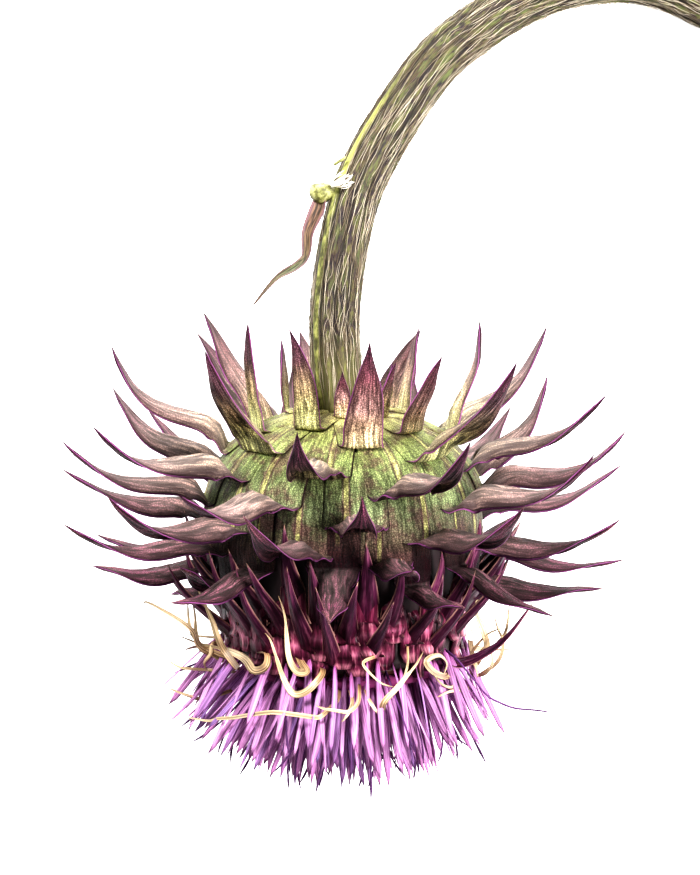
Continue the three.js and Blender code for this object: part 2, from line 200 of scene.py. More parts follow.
def lathe(bm, points, steps):
    """Spins an outline, given in mm in the head's frame, about the head's axis."""
    corners = [bm.verts.new(in_place(point)) for point in points]
    edges = [bm.edges.new(pair) for pair in zip(corners, corners[1:])]
    middle = in_place(Vector((0, 0, 0)))
    turn = 2 * math.pi
    bmesh.ops.spin(bm, geom=corners + edges, cent=middle, axis=UP, angle=turn, steps=steps, use_merge=True)


# %% [markdown]
# A strand's middle is drawn through a few given points. A smooth line between them passes
# through each one, which a Bezier curve does only with extra handles.


# %% Smooth lines and the frame along them
def smooth_line(points, rows):
    """Points spread evenly by number along a smooth line through the given ones."""
    line = []
    count = len(points) - 1
    for i in range(rows + 1):
        place = i / rows * count
        k = min(count - 1, int(place))
        f = place - k
        a, b = points[k], points[k + 1]
        before, after = points[max(0, k - 1)], points[min(count, k + 2)]
        point = 2 * a + (b - before) * f
        point += (2 * before - 5 * a + 4 * b - after) * f * f
        point += (3 * a - before - 3 * b + after) * f**3
        line.append(0.5 * point)
    return line


def forward_at(line, row):
    """The direction in which a line of points runs at one of them."""
    return (line[min(len(line) - 1, row + 1)] - line[max(0, row - 1)]).normalized()


def framed(forward, upper, twist):
    """across and lift for a path that runs along forward, turned by twist about it."""
    across = forward.cross(upper).normalized()
    lift = across.cross(forward)
    turned = across * math.cos(twist) + lift * math.sin(twist)
    return turned, turned.cross(forward).normalized()


# %% [markdown]
# Every finished piece goes the same way: its seams are welded, its faces are turned outwards, and
# it is told which solids it stands for and which body it rides on. The one body is the root.


# %% Finished pieces
def finish_piece(bm, name, material, slot, *nodes):
    """Welds the seams and turns the bmesh into a smooth object that stands for its CAD nodes."""
    bmesh.ops.remove_doubles(bm, verts=bm.verts[:], dist=WELD)
    bmesh.ops.recalc_face_normals(bm, faces=bm.faces[:])
    mesh = bpy.data.meshes.new(name)
    bm.to_mesh(mesh)
    bm.free()
    mesh.shade_smooth()
    mesh.materials.append(material)
    piece = bpy.data.objects.new(name, mesh)
    bpy.context.scene.collection.objects.link(piece)
    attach(piece, "root")
    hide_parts(*nodes)
    print(name, len(mesh.polygons), "faces")


# %% [markdown]
# ## Colours and nodes
# The colours are given as sRGB hex values, and linear() turns them into the values
# that Blender works with. One small function adds any shader node, with its settings and links,
# and gives the output that the next node needs. All materials start and end in the same way.
# Sockets go by number or by name. A Map Range node takes a value, the two values that it comes
# from and the two that it goes to. A colour Mix takes its share in socket 0 and its colours in 6
# and 7, and its result is output 2.


# %% Node helper
def linear(colour):
    """An sRGB hex colour as linear red, green, blue and alpha."""
    parts = [int(colour[i : i + 2], 16) / 255 for i in (1, 3, 5)]
    return [p / 12.92 if p <= 0.04045 else ((p + 0.055) / 1.055) ** 2.4 for p in parts] + [1.0]


def add(skin, kind, inputs=(), stops=(), out=0, **settings):
    """Adds a node. inputs has a value, a hex colour or another node's output for each socket."""
    node = skin.node_tree.nodes.new("ShaderNode" + kind)
    for name, value in settings.items():
        setattr(node, name, value)
    for socket, value in inputs.items() if isinstance(inputs, dict) else enumerate(inputs):
        if isinstance(value, bpy.types.NodeSocket):
            skin.node_tree.links.new(value, node.inputs[socket])
        else:
            node.inputs[socket].default_value = linear(value) if isinstance(value, str) else value
    if stops:
        elements = node.color_ramp.elements
        while len(elements) < len(stops):
            elements.new(1.0)
        for element, (position, colour) in zip(elements, stops):
            element.position = position
            element.color = linear(colour)
    return node.outputs[out] if node.outputs else node


def new_skin(name, marks=()):
    """An empty material, and after it an output for each mark that it reads."""
    skin = bpy.data.materials.new(name)
    skin.use_nodes = True
    skin.node_tree.nodes.clear()
    return skin, *[add(skin, "Attribute", out="Fac", attribute_name=mark) for mark in marks]


def finish_skin(skin, colour, layers, finish, height=None, strength=0, depth=0):
    """Lays colours over one another, as (share, colour) or (share, factor, how), and ends a
    material with its surface. depth is the height of the relief in mm."""
    for share, shade, *how in layers:
        mix = {0: share, 6: colour, 7: shade}
        colour = add(skin, "Mix", mix, out=2, data_type="RGBA", blend_type=(how or ["MIX"])[0])
    surface = {"Base Color": colour, **finish}
    if height:
        relief = {"Strength": strength, "Distance": depth * MM, "Height": height}
        surface["Normal"] = add(skin, "Bump", relief)
    add(skin, "OutputMaterial", {"Surface": add(skin, "BsdfPrincipled", surface)})
    return skin


# %% [markdown]
# ## The cup
# Under the bracts the head is a blunt cup: the swollen end of the stem, square at the shoulder
# and drawn in towards its mouth. It is turned like a bowl on a lathe, so its outline is drawn
# once as a run of edges and spun about the axis. Hardly any of it shows between the scales.

# %% The cup's outline
CUP_RADIUS = 16.4
CUP_RISE = 13.4
CUP_FULLNESS = 2.6  # how square the shoulder is: 2 is an ellipse
MOUTH_RADIUS = 13.8
MOUTH_DEPTH = 15.6
WAIST = 9.5  # how quickly the cup draws in below its widest place
TRACK_STEPS = 400  # of the list that turns a distance along the cup into a place on it


def outline(turn):
    """(radius, distance along the axis) of the cup, with turn from the neck to the mouth."""
    if turn <= math.pi / 2:
        rise = CUP_RISE * max(0.0, math.cos(turn)) ** (2 / CUP_FULLNESS)
        return CUP_RADIUS * math.sin(turn), rise
    depth = MOUTH_DEPTH * (turn - math.pi / 2) / (math.pi / 2)
    radius = MOUTH_RADIUS + (CUP_RADIUS - MOUTH_RADIUS) * math.exp(-((depth / WAIST) ** 2))
    return radius, -depth


cup_track = []
for i in range(TRACK_STEPS + 1):
    radius, height = outline(i / TRACK_STEPS * math.pi)
    run = 0.0
    if cup_track:
        last = cup_track[-1]
        run = last[0] + math.hypot(radius - last[1], height - last[2])
    cup_track.append((run, radius, height))


def cup_at(run):
    """The cup's radius, height and the tilt of its normal, at a distance from the pole."""
    i = next((k for k, place in enumerate(cup_track) if place[0] >= run), TRACK_STEPS)
    (run0, radius0, height0), (run1, radius1, height1) = cup_track[max(0, i - 1)], cup_track[max(1, i)]
    share = (run - run0) / (run1 - run0)
    tilt = math.atan2(radius1 - radius0, height0 - height1)
    return radius0 + (radius1 - radius0) * share, height0 + (height1 - height0) * share, tilt


def on_cup(run, angle, lift):
    """A point that stands off the cup by lift."""
    radius, height, tilt = cup_at(run)
    return outward(angle) * (radius + lift * math.cos(tilt)) + UP * (height + lift * math.sin(tilt))


print("the cup's outline is", round(cup_track[-1][0], 1), "mm from pole to mouth")

# %% [markdown]
# ## Where the bracts grow
# A thistle sets each new bract 137.5 degrees round from the last one, which is why the eye sees
# spirals. The outermost ones, round the neck, are small and upright. The ones round the middle
# are 20 mm long: they rise from a sharp fold, sag outwards and hook up again at the spine. Those
# in front and at both sides were each set one by one after the plant, in degrees and millimetres.

# %% Measures of each bract
LITTLE_BRACTS = 5
BRACTS = 63
FIRST_BRACT = 5.0  # from the pole to the first fold, along the cup
BRACT_SPAN = 28.0  # from the first fold to the last
CROWDING = 0.72  # power that spreads the folds of the first bracts and crowds the last
SPIKES = 48
SPIKE_SPAN = 6.2
FIRST_ANGLE = math.radians(0.2)
FOLD_LIFT = 1.3  # of a fold, off the cup
SPIKE_ROOT = -0.3
PRESSED_HEIGHT = 0.12  # of a blade that lies pressed against the table
PUSHED_ON = 0.35  # how much a blade that meets the table turns on towards the stem
HOOK_POWER = 2  # how late a blade hooks up
UPTURNED, UPTURNED_POWER = 34, 5  # one bract in front whose spine turns straight up, and late
STEPS = 24

BLADE_LENGTH = [(0, 5.4), (0.06, 12), (0.15, 13.8), (0.32, 20), (0.65, 20), (0.85, 16.5), (1, 11)]
BLADE_WIDTH = [(0, 2.2), (0.06, 3.6), (0.15, 5.1), (0.24, 6.4), (0.36, 7.3), (0.6, 7.4), (1, 5.6)]
BLADE_RISE = [(0, 85), (0.1, 82), (0.2, 60), (0.3, 42), (0.42, 27), (0.64, 10), (0.85, -3), (1, -20)]
KNEE = [(0, 0), (0.12, 8), (0.25, 50), (0.6, 55), (0.85, 35), (1, 10)]
SAG = [(0, 0), (0.12, 4), (0.25, 22), (0.6, 20), (1, 6)]
HOOK = [(0, 2), (0.12, 8), (0.25, 34), (0.6, 34), (0.85, 22), (1, 4)]

OWN_KEYS = ("turn", "rise", "lean", "length", "down", "hook", "width")
OWN_SET = {  # the measures that were set one by one, by the number of the bract
    0: (-2, 84, 0),
    5: (14, 74, 16),
    8: (-9, 86, -26),
    9: (0, 74, 14, 9.5),
    10: (-14, 68, 24, 9.8),
    12: (0, 66, -26, 11),
    13: (-2, 72, 2),
    14: (0, 58, 18, 15.5),
    15: (0, 72, -8),
    16: (-9, 56, -2),
    18: (3, 38, 8),
    19: (0, 35, 14, 20.5),
    20: (-10, 40, -8, 21),
    21: (-4, 18, 8),
    22: (0, 45, 30, 19),
    23: (0, 28, -12, 20.5),
    24: (0, 17, 4, 21.4),
    26: (0, 16, 2),
    27: (0, 20, -9, 18.5),
    28: (0, 44, -5, 16.5),
    29: (-5, 12, -4),
    31: (0, 20, -7, 21.5),
    32: (0, 16, 0, 20.5),
    34: (0, 19, -4, 16, 0, 90),
    36: (0, 13, -6, 20.4, -2.5),
    37: (-4, 12, -6, 19.5),
    40: (0, 8, -3, 20),
    41: (-8, 10, 0, 23),
    42: (-1, 16, -12),
    43: (0, 0, 6, 21),
    46: (2, -8, 10, 20.5),
    47: (0, 4, -14, 15, -0.9, 20, 6.2),
    48: (0, -14, 2, 20),
    49: (0, -11, -3, 19.3),
    50: (-4, -6, 4, 15.5, -0.8, 20, 5.4),
    51: (-4, -38, 0, 23),
    52: (4, -18, 6, 14, -1.5, 10, 4.6),
    53: (0, -6, -13, 14.5),
    55: (-1, -46, -4, 7.8, -3.6),
    57: (0, -5, 7, 15.5),
    58: (0, 24, 0, 8, -1),
    60: (0, -4, 4, 11, -3, 10, 4.6),
    61: (0, -22, -6, 7),
    62: (0, -15, -7, 8),
}

# %% [markdown]
# A bract's numbers come from short lists, read at its age: 0 at the neck and 1 at the last broad
# one. From them a path is walked in small steps, each a little more raised or sunk than the last.
# A curve object could draw the path too, but walking lets a blade notice the table and lie on it.


# %% Path of a bract
def bract_measures(n):
    """The measures of bract n, counted from the neck. The narrow inner ones come last."""
    own = dict(zip(OWN_KEYS, OWN_SET.get(n, ())))
    angle = FIRST_ANGLE - n * GOLDEN_ANGLE + math.radians(own.get("turn", 0))
    if n < BRACTS:
        share = max(0, (n - LITTLE_BRACTS + 0.5) / (BRACTS - LITTLE_BRACTS))
        return {
            "angle": angle,
            "age": share,
            "run": FIRST_BRACT + BRACT_SPAN * share**CROWDING + own.get("down", 0),
            "length": own.get("length", along(BLADE_LENGTH, share) * (1 + 0.08 * sway(n, 1))),
            "width": own.get("width", along(BLADE_WIDTH, share) * (1 + 0.06 * sway(n, 2))),
            "rise": own.get("rise", along(BLADE_RISE, share) + 5 * sway(n, 3)),
            "knee": along(KNEE, share) * (1 + 0.3 * sway(n, 4)),
            "sag": along(SAG, share) * (1 + 0.3 * sway(n, 5)),
            "hook": own.get("hook", along(HOOK, share) * (1 + 0.4 * sway(n, 6))),
            "lean": own.get("lean", 14 * sway(n, 7)),
            "twist": 18 * sway(n, 8),
            "root_lift": FOLD_LIFT,
            "late": UPTURNED_POWER if n == UPTURNED else HOOK_POWER,
        }
    share = (n - BRACTS + 0.5) / SPIKES
    return {
        "angle": angle,
        "age": 1 + share,
        "run": FIRST_BRACT + BRACT_SPAN + SPIKE_SPAN * share,
        "length": (11.4 + 2 * share) * (1 + 0.14 * sway(n, 1)),
        "width": 3.4 - 1.4 * share**0.6,
        "rise": 62 - 12 * share + 8 * sway(n, 3),
        "knee": 0,
        "sag": 8,
        "hook": 14 * (1 + sway(n, 6)),
        "lean": 12 * sway(n, 7),
        "twist": 20 * sway(n, 8),
        "root_lift": SPIKE_ROOT,
        "late": HOOK_POWER,
    }


def bract_path(measures):
    """The middle line of a bract from its fold to its tip: (point, forward, upper) at each step."""
    angle, length = measures["angle"], measures["length"]
    knee_length, sag_length, sweep = 0.13, 0.75, 1.3
    floor = -HEAD_HEIGHT + PRESSED_HEIGHT
    step = length / STEPS
    point = on_cup(measures["run"], angle, measures["root_lift"])
    path = []
    for i in range(STEPS + 1):
        t = i / STEPS
        raised = measures["knee"] * math.exp(-((t / knee_length) ** 2))
        raised += measures["hook"] * t ** measures["late"]
        sunk = measures["sag"] * math.sin(math.pi * min(1, t / sag_length))
        climb = math.radians(measures["rise"] + raised - sunk)
        forward = heading(angle, climb, math.radians(measures["lean"]) * t**sweep)
        upper = heading(angle, climb + math.pi / 2)
        if point.z + forward.z * step < floor:
            forward.z = max(-1, (floor - point.z) / step)
            forward.y += PUSHED_ON
            forward.normalize()
            upper = Vector((0, 0, 1))
        path.append((point.copy(), forward, upper))
        point += forward * step
    return path


first_point = bract_path(bract_measures(UPTURNED))[0][0]
print("the upturned bract folds out at", [round(x, 1) for x in first_point])

# %% [markdown]
# ## The broad bracts
# Each bract is a flat scale that lies on the cup like a roof tile, a sharp fold, and a free
# blade. The scale sinks under its neighbours towards its hidden root. The blade is arched
# across where it is broad, so that its edges droop, and closes into a gutter near the spine. It
# could be cut from a solid, but a skin rolled round the middle line keeps the edges thin.

# %% Broad bracts
PLATE_LENGTH = 11.0  # of a scale
PLATE_SLOPE = 0.065  # how much deeper a scale lies for each mm back from its fold
PLATE_LIFT = 0.75  # of its middle, at the fold
PLATE_BOW = 0.12  # how much lower a scale's edges lie than its middle
PLATE_THICKNESS = 0.36
NECK_GAP = 2.4  # between the pole and the roots of the first scales
PLATE_ROWS = 9
FOLD_ROWS = 6
FOLD_BACK = 0.55  # where the scale starts to turn away from the cup
FOLD_REACH = 0.85  # of the fold's two handles
BLADE_THICKNESS = 0.46
ARCH, GUTTER = 1.6, 0.7  # radians that half a blade bends down where it is broad, and up near its spine
CREASE, WAVE = 0.1, 0.12  # along the middle and along the edges, in half widths
FINE_RIDGES = ((0.035, 15, 0.25, 6.3), (0.025, 26, -0.2, 9))  # height, how many, drift and phase
AROUND = 32
LANCE = [(0, 0.92), (0.12, 1), (0.32, 0.95), (0.5, 0.74), (0.64, 0.48), (0.76, 0.28)]
LANCE += [(0.88, 0.13), (1, 0)]
FULL_LANCE = [(0, 0.96), (0.15, 1), (0.4, 0.93), (0.6, 0.68), (0.78, 0.36), (0.9, 0.14), (1, 0)]


def width_share(outline_pairs, t):
    """The outline's width at t, with its corners smoothed."""
    near = 0.05
    sides = along(outline_pairs, t - near) + along(outline_pairs, min(1, t + near))
    return 0.5 * along(outline_pairs, t) + 0.25 * sides


def even_turn(turn):
    """across and side of a point of a flat section, its points spread evenly from edge to edge."""
    u = 1 - 2 * turn / math.pi if turn <= math.pi else 2 * turn / math.pi - 3
    return u, math.copysign(math.sqrt(max(0.0, 1 - u**4)), math.sin(turn))


def section(u, t, age, phase):
    """A point of a blade's section, in half widths: a sheet bent into an arch, then a gutter."""
    arch = ARCH * eased(0.02, 0.16, t) * (1 - eased(0.35, 0.85, t)) * eased(0.12, 0.32, age)
    gutter = GUTTER * eased(0.55, 0.95, t)
    bend = arch - gutter + 0.001
    x = math.sin(bend * u) / bend
    y = (math.cos(bend * u) - 1) / bend
    crease = -CREASE * math.exp(-((u / 0.2) ** 2)) * eased(0.15, 0.3, t) * (1 - eased(0.6, 0.9, t))
    ridged = eased(0.05, 0.15, t) * (1 - eased(0.55, 0.85, t)) * (1 - u * u)
    drift = 0.5 * math.sin(7 * t + 6.3 * phase) * u + 0.25 * math.sin(15 * t + 9 * phase)
    ridges = sum(
        height * math.cos(count * (u + lean * drift) + turn * phase)
        for height, count, lean, turn in FINE_RIDGES
    )
    wave = WAVE * math.sin(9 * t + 6.3 * phase + (1.5 if u > 0 else 0)) * abs(u) ** 3 * (1 - t)
    return x, y + crease + ridges * ridged + wave


def bract_rows(measures, plate, plate_rows, fold_back, fold_lift, folds, turned_out, stride):
    """(kind, where, t) for each row of a bract: its scale from the hidden root, its fold, which
    ends at a step of the path, and its free blade. t runs from 0 at the fold to 1 at the tip."""
    angle, run = measures["angle"], measures["run"]
    path = bract_path(measures)
    rows = []
    for i in range(plate_rows):
        back = plate + (fold_back - plate) * i / (plate_rows - 1)
        rows.append(("plate", back, -back / PLATE_LENGTH))
    start = on_cup(run - fold_back, angle, fold_lift)
    start_lean = cup_at(run)[2] - math.pi / 2
    end, end_forward, _ = path[turned_out]
    end_lean = math.atan2(end_forward.dot(UP), end_forward.dot(outward(angle)))
    start_handle = start + heading(angle, start_lean) * FOLD_REACH
    end_handle = end - heading(angle, end_lean) * FOLD_REACH
    line = interpolate_bezier(start, start_handle, end_handle, end, folds + 2)
    for k in range(1, folds + 1):
        forward = (line[k + 1] - line[k - 1]).normalized()
        upper = forward.cross(sideways(angle))
        rows.append(("blade", (line[k], forward, upper), k / (folds + 1) * turned_out / STEPS))
    for k in range(turned_out, STEPS + 1, stride):
        rows.append(("blade", path[k], k / STEPS))
    return rows


def broad_bract(bm, n):
    measures = bract_measures(n)
    angle, run, width = measures["angle"], measures["run"], measures["width"]
    age, seed = measures["age"], draw(n, 9)
    half = width / 2
    plate = min(PLATE_LENGTH, run - NECK_GAP)
    full = 1 - eased(0.12, 0.3, age) + 0.8 * eased(0.75, 0.88, age)
    turned_out, stride = 2, 1  # the path's step where the fold has ended, and every step from there
    stations = bract_rows(
        measures, plate, PLATE_ROWS, FOLD_BACK, PLATE_LIFT, FOLD_ROWS, turned_out, stride
    )
    last = len(stations) - 1

    def place(row, turn):
        u, s = even_turn(turn)
        kind, where, t = stations[row]
        side = max(-1.0, min(1.0, 3 * s))
        marks = (age, t, u, side, seed)
        if kind == "plate":
            radius = cup_at(run - where)[0]
            spread = min(half * (1.12 - 0.35 * (where / PLATE_LENGTH) ** 2), 0.62 * radius)
            lift = PLATE_LIFT - PLATE_SLOPE * where - PLATE_BOW * u * u + s * PLATE_THICKNESS / 2
            if row == 0:
                return on_cup(run - where, angle, PLATE_LIFT - PLATE_SLOPE * where), marks
            return on_cup(run - where, angle - u * spread / radius, lift), marks
        point, forward, upper = where
        across, lift = framed(forward, upper, math.radians(0.5 * measures["twist"]) * min(1, t / 0.5))
        lance = width_share(LANCE, t) + (width_share(FULL_LANCE, t) - width_share(LANCE, t)) * full
        reach = half * lance * (1 + 0.14 * (1 - eased(0, 0.06, t)))
        x, y = section(u, t, age, seed)
        thick = min(BLADE_THICKNESS, 0.9 * reach + 0.04)
        keel = 0.16 * math.exp(-((u / 0.16) ** 2)) * (1 - t) * eased(0.08, 0.3, t) if s < 0 else 0
        height = reach * y + thick / 2 * s - keel
        if row == last:
            return point, marks
        return point + across * x * reach + lift * height, marks

    roll(bm, AROUND, last, place)


bracts_mesh = marked_mesh()
for n in range(BRACTS):
    broad_bract(bracts_mesh, n)
print("broad bracts:", len(bracts_mesh.faces), "faces")

# %% [markdown]
# ## The narrow inner bracts
# Round the mouth the bracts are narrow, stiff and keeled, with a long spine. Between and below
# them the innermost ones stay pressed to the cup: crimson, smooth and shiny. Both kinds are
# rolled like the broad ones, with fewer faces, because there are many and each is small.

# %% Narrow bracts
SPIKE_PLATE = 5.0
SPIKE_PLATE_ROWS, SPIKE_FOLD_ROWS = 4, 3
SPIKE_BACK = 0.5
SPIKE_LIFT = 0.3  # of its scale, off the cup
SPIKE_AROUND = 12
AWL = [(0, 1.25), (0.2, 1), (0.5, 0.66), (0.8, 0.3), (1, 0)]


def narrow_bract(bm, n):
    measures = bract_measures(n)
    angle, run, half = measures["angle"], measures["run"], measures["width"] / 2
    age, seed = measures["age"], draw(n, 9)
    stout = 1 - eased(1.1, 1.5, age)
    turned_out, stride = 3, 3  # fewer rows, because each is small
    stations = bract_rows(
        measures, SPIKE_PLATE, SPIKE_PLATE_ROWS, SPIKE_BACK, SPIKE_LIFT, SPIKE_FOLD_ROWS, turned_out, stride
    )
    last = len(stations) - 1

    def place(row, turn):
        u, s = math.cos(turn), math.sin(turn)
        kind, where, t = stations[row]
        marks = (age, t, u, max(-1.0, min(1.0, 3 * s)), seed)
        if kind == "plate":
            radius = cup_at(run - where)[0]
            lift = SPIKE_LIFT - 0.12 * where
            if row == 0:
                return on_cup(run - where, angle, lift), marks
            lift += s * 0.35 + 0.25 * (1 - u * u)
            return on_cup(run - where, angle - u * half * 1.05 / radius, lift), marks
        point, forward, upper = where
        if row == last:
            return point, marks
        across, lift = framed(forward, upper, math.radians(measures["twist"]) * min(1, t / 0.5))
        reach = half * width_share(AWL, t) * (1 + 0.12 * stout * (1 - t))
        thick = min(0.5, 0.8 * reach + 0.04)
        keel = 0.35 * reach * (1 - abs(u)) if s < 0 else 0
        height = 0.4 * reach * abs(u) + thick / 2 * s - keel
        return point + across * u * reach + lift * height, marks

    roll(bm, SPIKE_AROUND, last, place)


inner_mesh = marked_mesh()
for n in range(BRACTS, BRACTS + SPIKES):
    narrow_bract(inner_mesh, n)

# One of them, at the right of the mouth, is longer than the others and is laid along listed points.
LONG_AWL = [(12, -15.4, 7), (14, -16.4, 6.8), (17.2, -15.3, 6), (19.9, -13.1, 6), (23, -8.8, 6)]
awl_line = smooth_line([Vector(point) for point in LONG_AWL], STEPS)


def long_awl(row, t):
    across, lift = framed(forward_at(awl_line, row), Vector((0, 0.3, 1)), 0.4)
    return awl_line[row], across, lift, 0.95 * (0.6 + 0.4 * eased(0, 0.3, t)) * (1 - t) ** 0.8, 0.2


strand(inner_mesh, SPIKE_AROUND, STEPS, long_awl, 1.5, 0.6, gutter=0.5)
print("narrow bracts:", len(inner_mesh.faces), "faces")

# %% [markdown]
# The innermost bracts show as short crimson tubes, side by side like the staves of a barrel, each
# with a blunt lip. They stay so close to the cup that they are rolled on its surface.

# %% Pressed innermost bracts
INNERMOST = 50
INNERMOST_TURN = 0.4  # radians round the cup to the first one
INNERMOST_WIDTH = 3.1
LIP = 0.25
INNERMOST_TOP = 31.0  # distance from the pole where they come out from under the others
INNERMOST_AROUND = 12
INNERMOST_ROWS = 14


def pressed_bract(bm, n):
    """An innermost bract: half a tube on the cup, with a blunt lip near the mouth."""
    angle = n * GOLDEN_ANGLE + INNERMOST_TURN
    share = n / INNERMOST
    mouth = cup_track[-1][0]
    top = INNERMOST_TOP + 2.5 * share
    end = mouth - 2.9 + 4.4 * share + 1.1 * sway(n, 41)
    half = INNERMOST_WIDTH / 2 * (1 + 0.3 * sway(n, 42))
    layer = 0.3 - 0.3 * share
    knuckle, swell = 0.66 + 0.14 * sway(n, 45), 0.3 * draw(n, 46)
    seed = draw(n, 43)

    def place(row, turn):
        u, s = math.cos(turn), math.sin(turn)
        t = min(row, INNERMOST_ROWS - 1) / (INNERMOST_ROWS - 1)
        run = top + (end - top) * t
        marks = (3.0, t, u, s, seed)
        past = max(0.0, run - mouth)
        tube = 0.4 * math.sqrt(max(0.0, 1 - u * u)) * eased(0, 0.35, t)
        ripple = 0.12 * math.sin(9 * t + 20 * seed) * t + swell * math.exp(-(((t - knuckle) / 0.1) ** 2))
        lip = LIP * eased(0.84, 1, t)
        lift = layer + tube + ripple + lip + 0.14 * s - 0.7 * (1 - eased(0, 0.3, t))
        reach = half * (0.6 + 0.4 * eased(0, 0.4, t)) * (1 - 0.35 * eased(0.85, 1, t)) / MOUTH_RADIUS
        if row in (0, INNERMOST_ROWS):
            return on_cup(min(run, mouth), angle, (layer + LIP) * t) - UP * past, marks
        skew = 0.04 * sway(n, 44) * t
        return on_cup(min(run, mouth), angle + skew - u * reach, lift) - UP * past, marks

    roll(bm, INNERMOST_AROUND, INNERMOST_ROWS, place)


for n in range(INNERMOST):
    pressed_bract(inner_mesh, n)
print("with the innermost ones:", len(inner_mesh.faces), "faces")

# %% [markdown]
# ## The finish of the bracts
# Living bracts are green where they lie on the cup and purple where the sun reaches them. Dried,
# they go brown and mauve, their veins stand up as pale lengthwise wrinkles, with painted light on
# their ridges and painted shade in their furrows, and a thin magenta rim stays along the edges.
# The material reads the marks: age runs from the neck to the mouth, along from the hidden root
# through the fold to the spine, and across from edge to edge. The surface is a dry, slightly waxy
# leaf: quite rough, with the ordinary gloss of a dielectric.

# %% Bract material and its measures
WRINKLE_WIDTH = 0.6  # mm between wrinkles
VEIN_WIDTH = 0.24  # mm between the fine lines, about twice the real distance
CELL_SIZE = 0.27  # mm across the net of small veins
PATCH_SIZE = 2.2  # mm across a brown patch
HALF_WIDTH = 3.4  # mm of a broad bract, which turns the across mark into mm
CUP_RUN = 40.0  # mm from the pole to the end of the scales' ramp

skin, age, run_mark, across_mark, side_mark, seed_mark = new_skin("dried thistle bract", MARKS)

# %% [markdown]
# The free blade has five sets of colours, each from its fold to its spine: the first bracts are
# green and the last purple. Each set comes with the mark that brings it in and the two values of
# that mark between which it takes over. Colour ramps do this better than painting, because every
# blade has its own place between them.

# %% Blade colours
green_stops = [(0.0, "#e2e2a2"), (0.12, "#ccc88c"), (0.35, "#ac9874"), (0.65, "#684a4e"), (1.0, "#441a34")]
tan_stops = [(0.0, "#d2c498"), (0.12, "#b89c80"), (0.35, "#987872"), (0.65, "#6a4248"), (1.0, "#441a34")]
olive_stops = [(0.0, "#40322c"), (0.2, "#625648"), (0.5, "#584a42"), (0.75, "#442632"), (1.0, "#401630")]
mauve_stops = [(0.0, "#2c1a1e"), (0.2, "#624c46"), (0.5, "#583e40"), (0.75, "#441f2e"), (1.0, "#582a42")]
purple_stops = [(0.0, "#1c0810"), (0.3, "#442830"), (0.7, "#3e182a"), (1.0, "#8a5c62")]
blade_colour = add(skin, "ValToRGB", [run_mark], green_stops)
for stops, brought_by, low, high in (
    (tan_stops, seed_mark, 0.35, 0.75),
    (olive_stops, age, 0.16, 0.3),
    (mauve_stops, age, 0.3, 0.52),
    (purple_stops, age, 0.46, 0.76),
):
    kind = add(skin, "ValToRGB", [run_mark], stops)
    share = add(skin, "MapRange", [brought_by, low, high])
    mix = {0: share, 6: blade_colour, 7: kind}
    blade_colour = add(skin, "Mix", mix, out=2, data_type="RGBA")

# %% [markdown]
# The scales on the cup are coloured by their distance in mm from the pole at the neck, because the
# light that reached that place made the colour. Near the mouth they go nearly black: partly their
# own colour, partly painted shade under the broad bracts. A pale stripe with a darker border runs
# down each scale, and brown patches show where it has died back.

# %% Scale colours
# The last stops, past 26 mm, are partly painted shade under the overhanging bracts.
scale_tone_and_shade_stops = [
    (5, "#c8c084"),
    (9, "#8e925a"),
    (14, "#768050"),
    (20, "#687050"),
    (23.5, "#605846"),
    (26, "#44302c"),
    (29, "#20080e"),
    (39, "#200410"),
]
scale_tone_and_shade_stops = [(place / CUP_RUN, colour) for place, colour in scale_tone_and_shade_stops]
fold_place = add(skin, "Math", [age, CROWDING], operation="POWER")
fold_place = add(skin, "Math", [fold_place, BRACT_SPAN, FIRST_BRACT], operation="MULTIPLY_ADD")
scale_place = add(skin, "Math", [run_mark, PLATE_LENGTH, fold_place], operation="MULTIPLY_ADD")
ramp_place = add(skin, "Math", [scale_place, CUP_RUN], operation="DIVIDE")
scale_colour_and_shade = add(skin, "ValToRGB", [ramp_place], scale_tone_and_shade_stops)
stripe_place = add(skin, "MapRange", [seed_mark, 0.0, 1.0, -0.3, 0.3])
from_stripe = add(skin, "Math", [across_mark, stripe_place], operation="SUBTRACT")
from_stripe = add(skin, "Math", [from_stripe], operation="ABSOLUTE")
still_green = add(skin, "MapRange", [scale_place, 27.5, 23.5])

place_now = add(skin, "TexCoord", out="Object")
patch_scale = {"Vector": place_now, "Scale": 1 / (PATCH_SIZE * MM), "Detail": 4.0, "Roughness": 0.65}
patches = add(skin, "TexNoise", patch_scale, out="Fac")
for source, low, high, most, shade in (
    (from_stripe, 0.16, 0.1, 0.75, "#503638"),
    (from_stripe, 0.09, 0.05, 1.0, "#a2a068"),
    (patches, 0.47, 0.62, 0.7, "#543638"),
):
    share = add(skin, "MapRange", [source, low, high, 0.0, most])
    share = add(skin, "Math", [share, still_green], operation="MULTIPLY")
    mix = {0: share, 6: scale_colour_and_shade, 7: shade}
    scale_colour_and_shade = add(skin, "Mix", mix, out=2, data_type="RGBA")
on_blade = add(skin, "MapRange", [run_mark, -0.04, 0.03])

# %% [markdown]
# Wrinkles and fine lines run along the bract, and a net of small veins lies over them. They are
# noise, stretched along the marks so that they follow each blade's bends. The veins are drawn
# about twice as coarse as the real ones, which would be too fine to show.

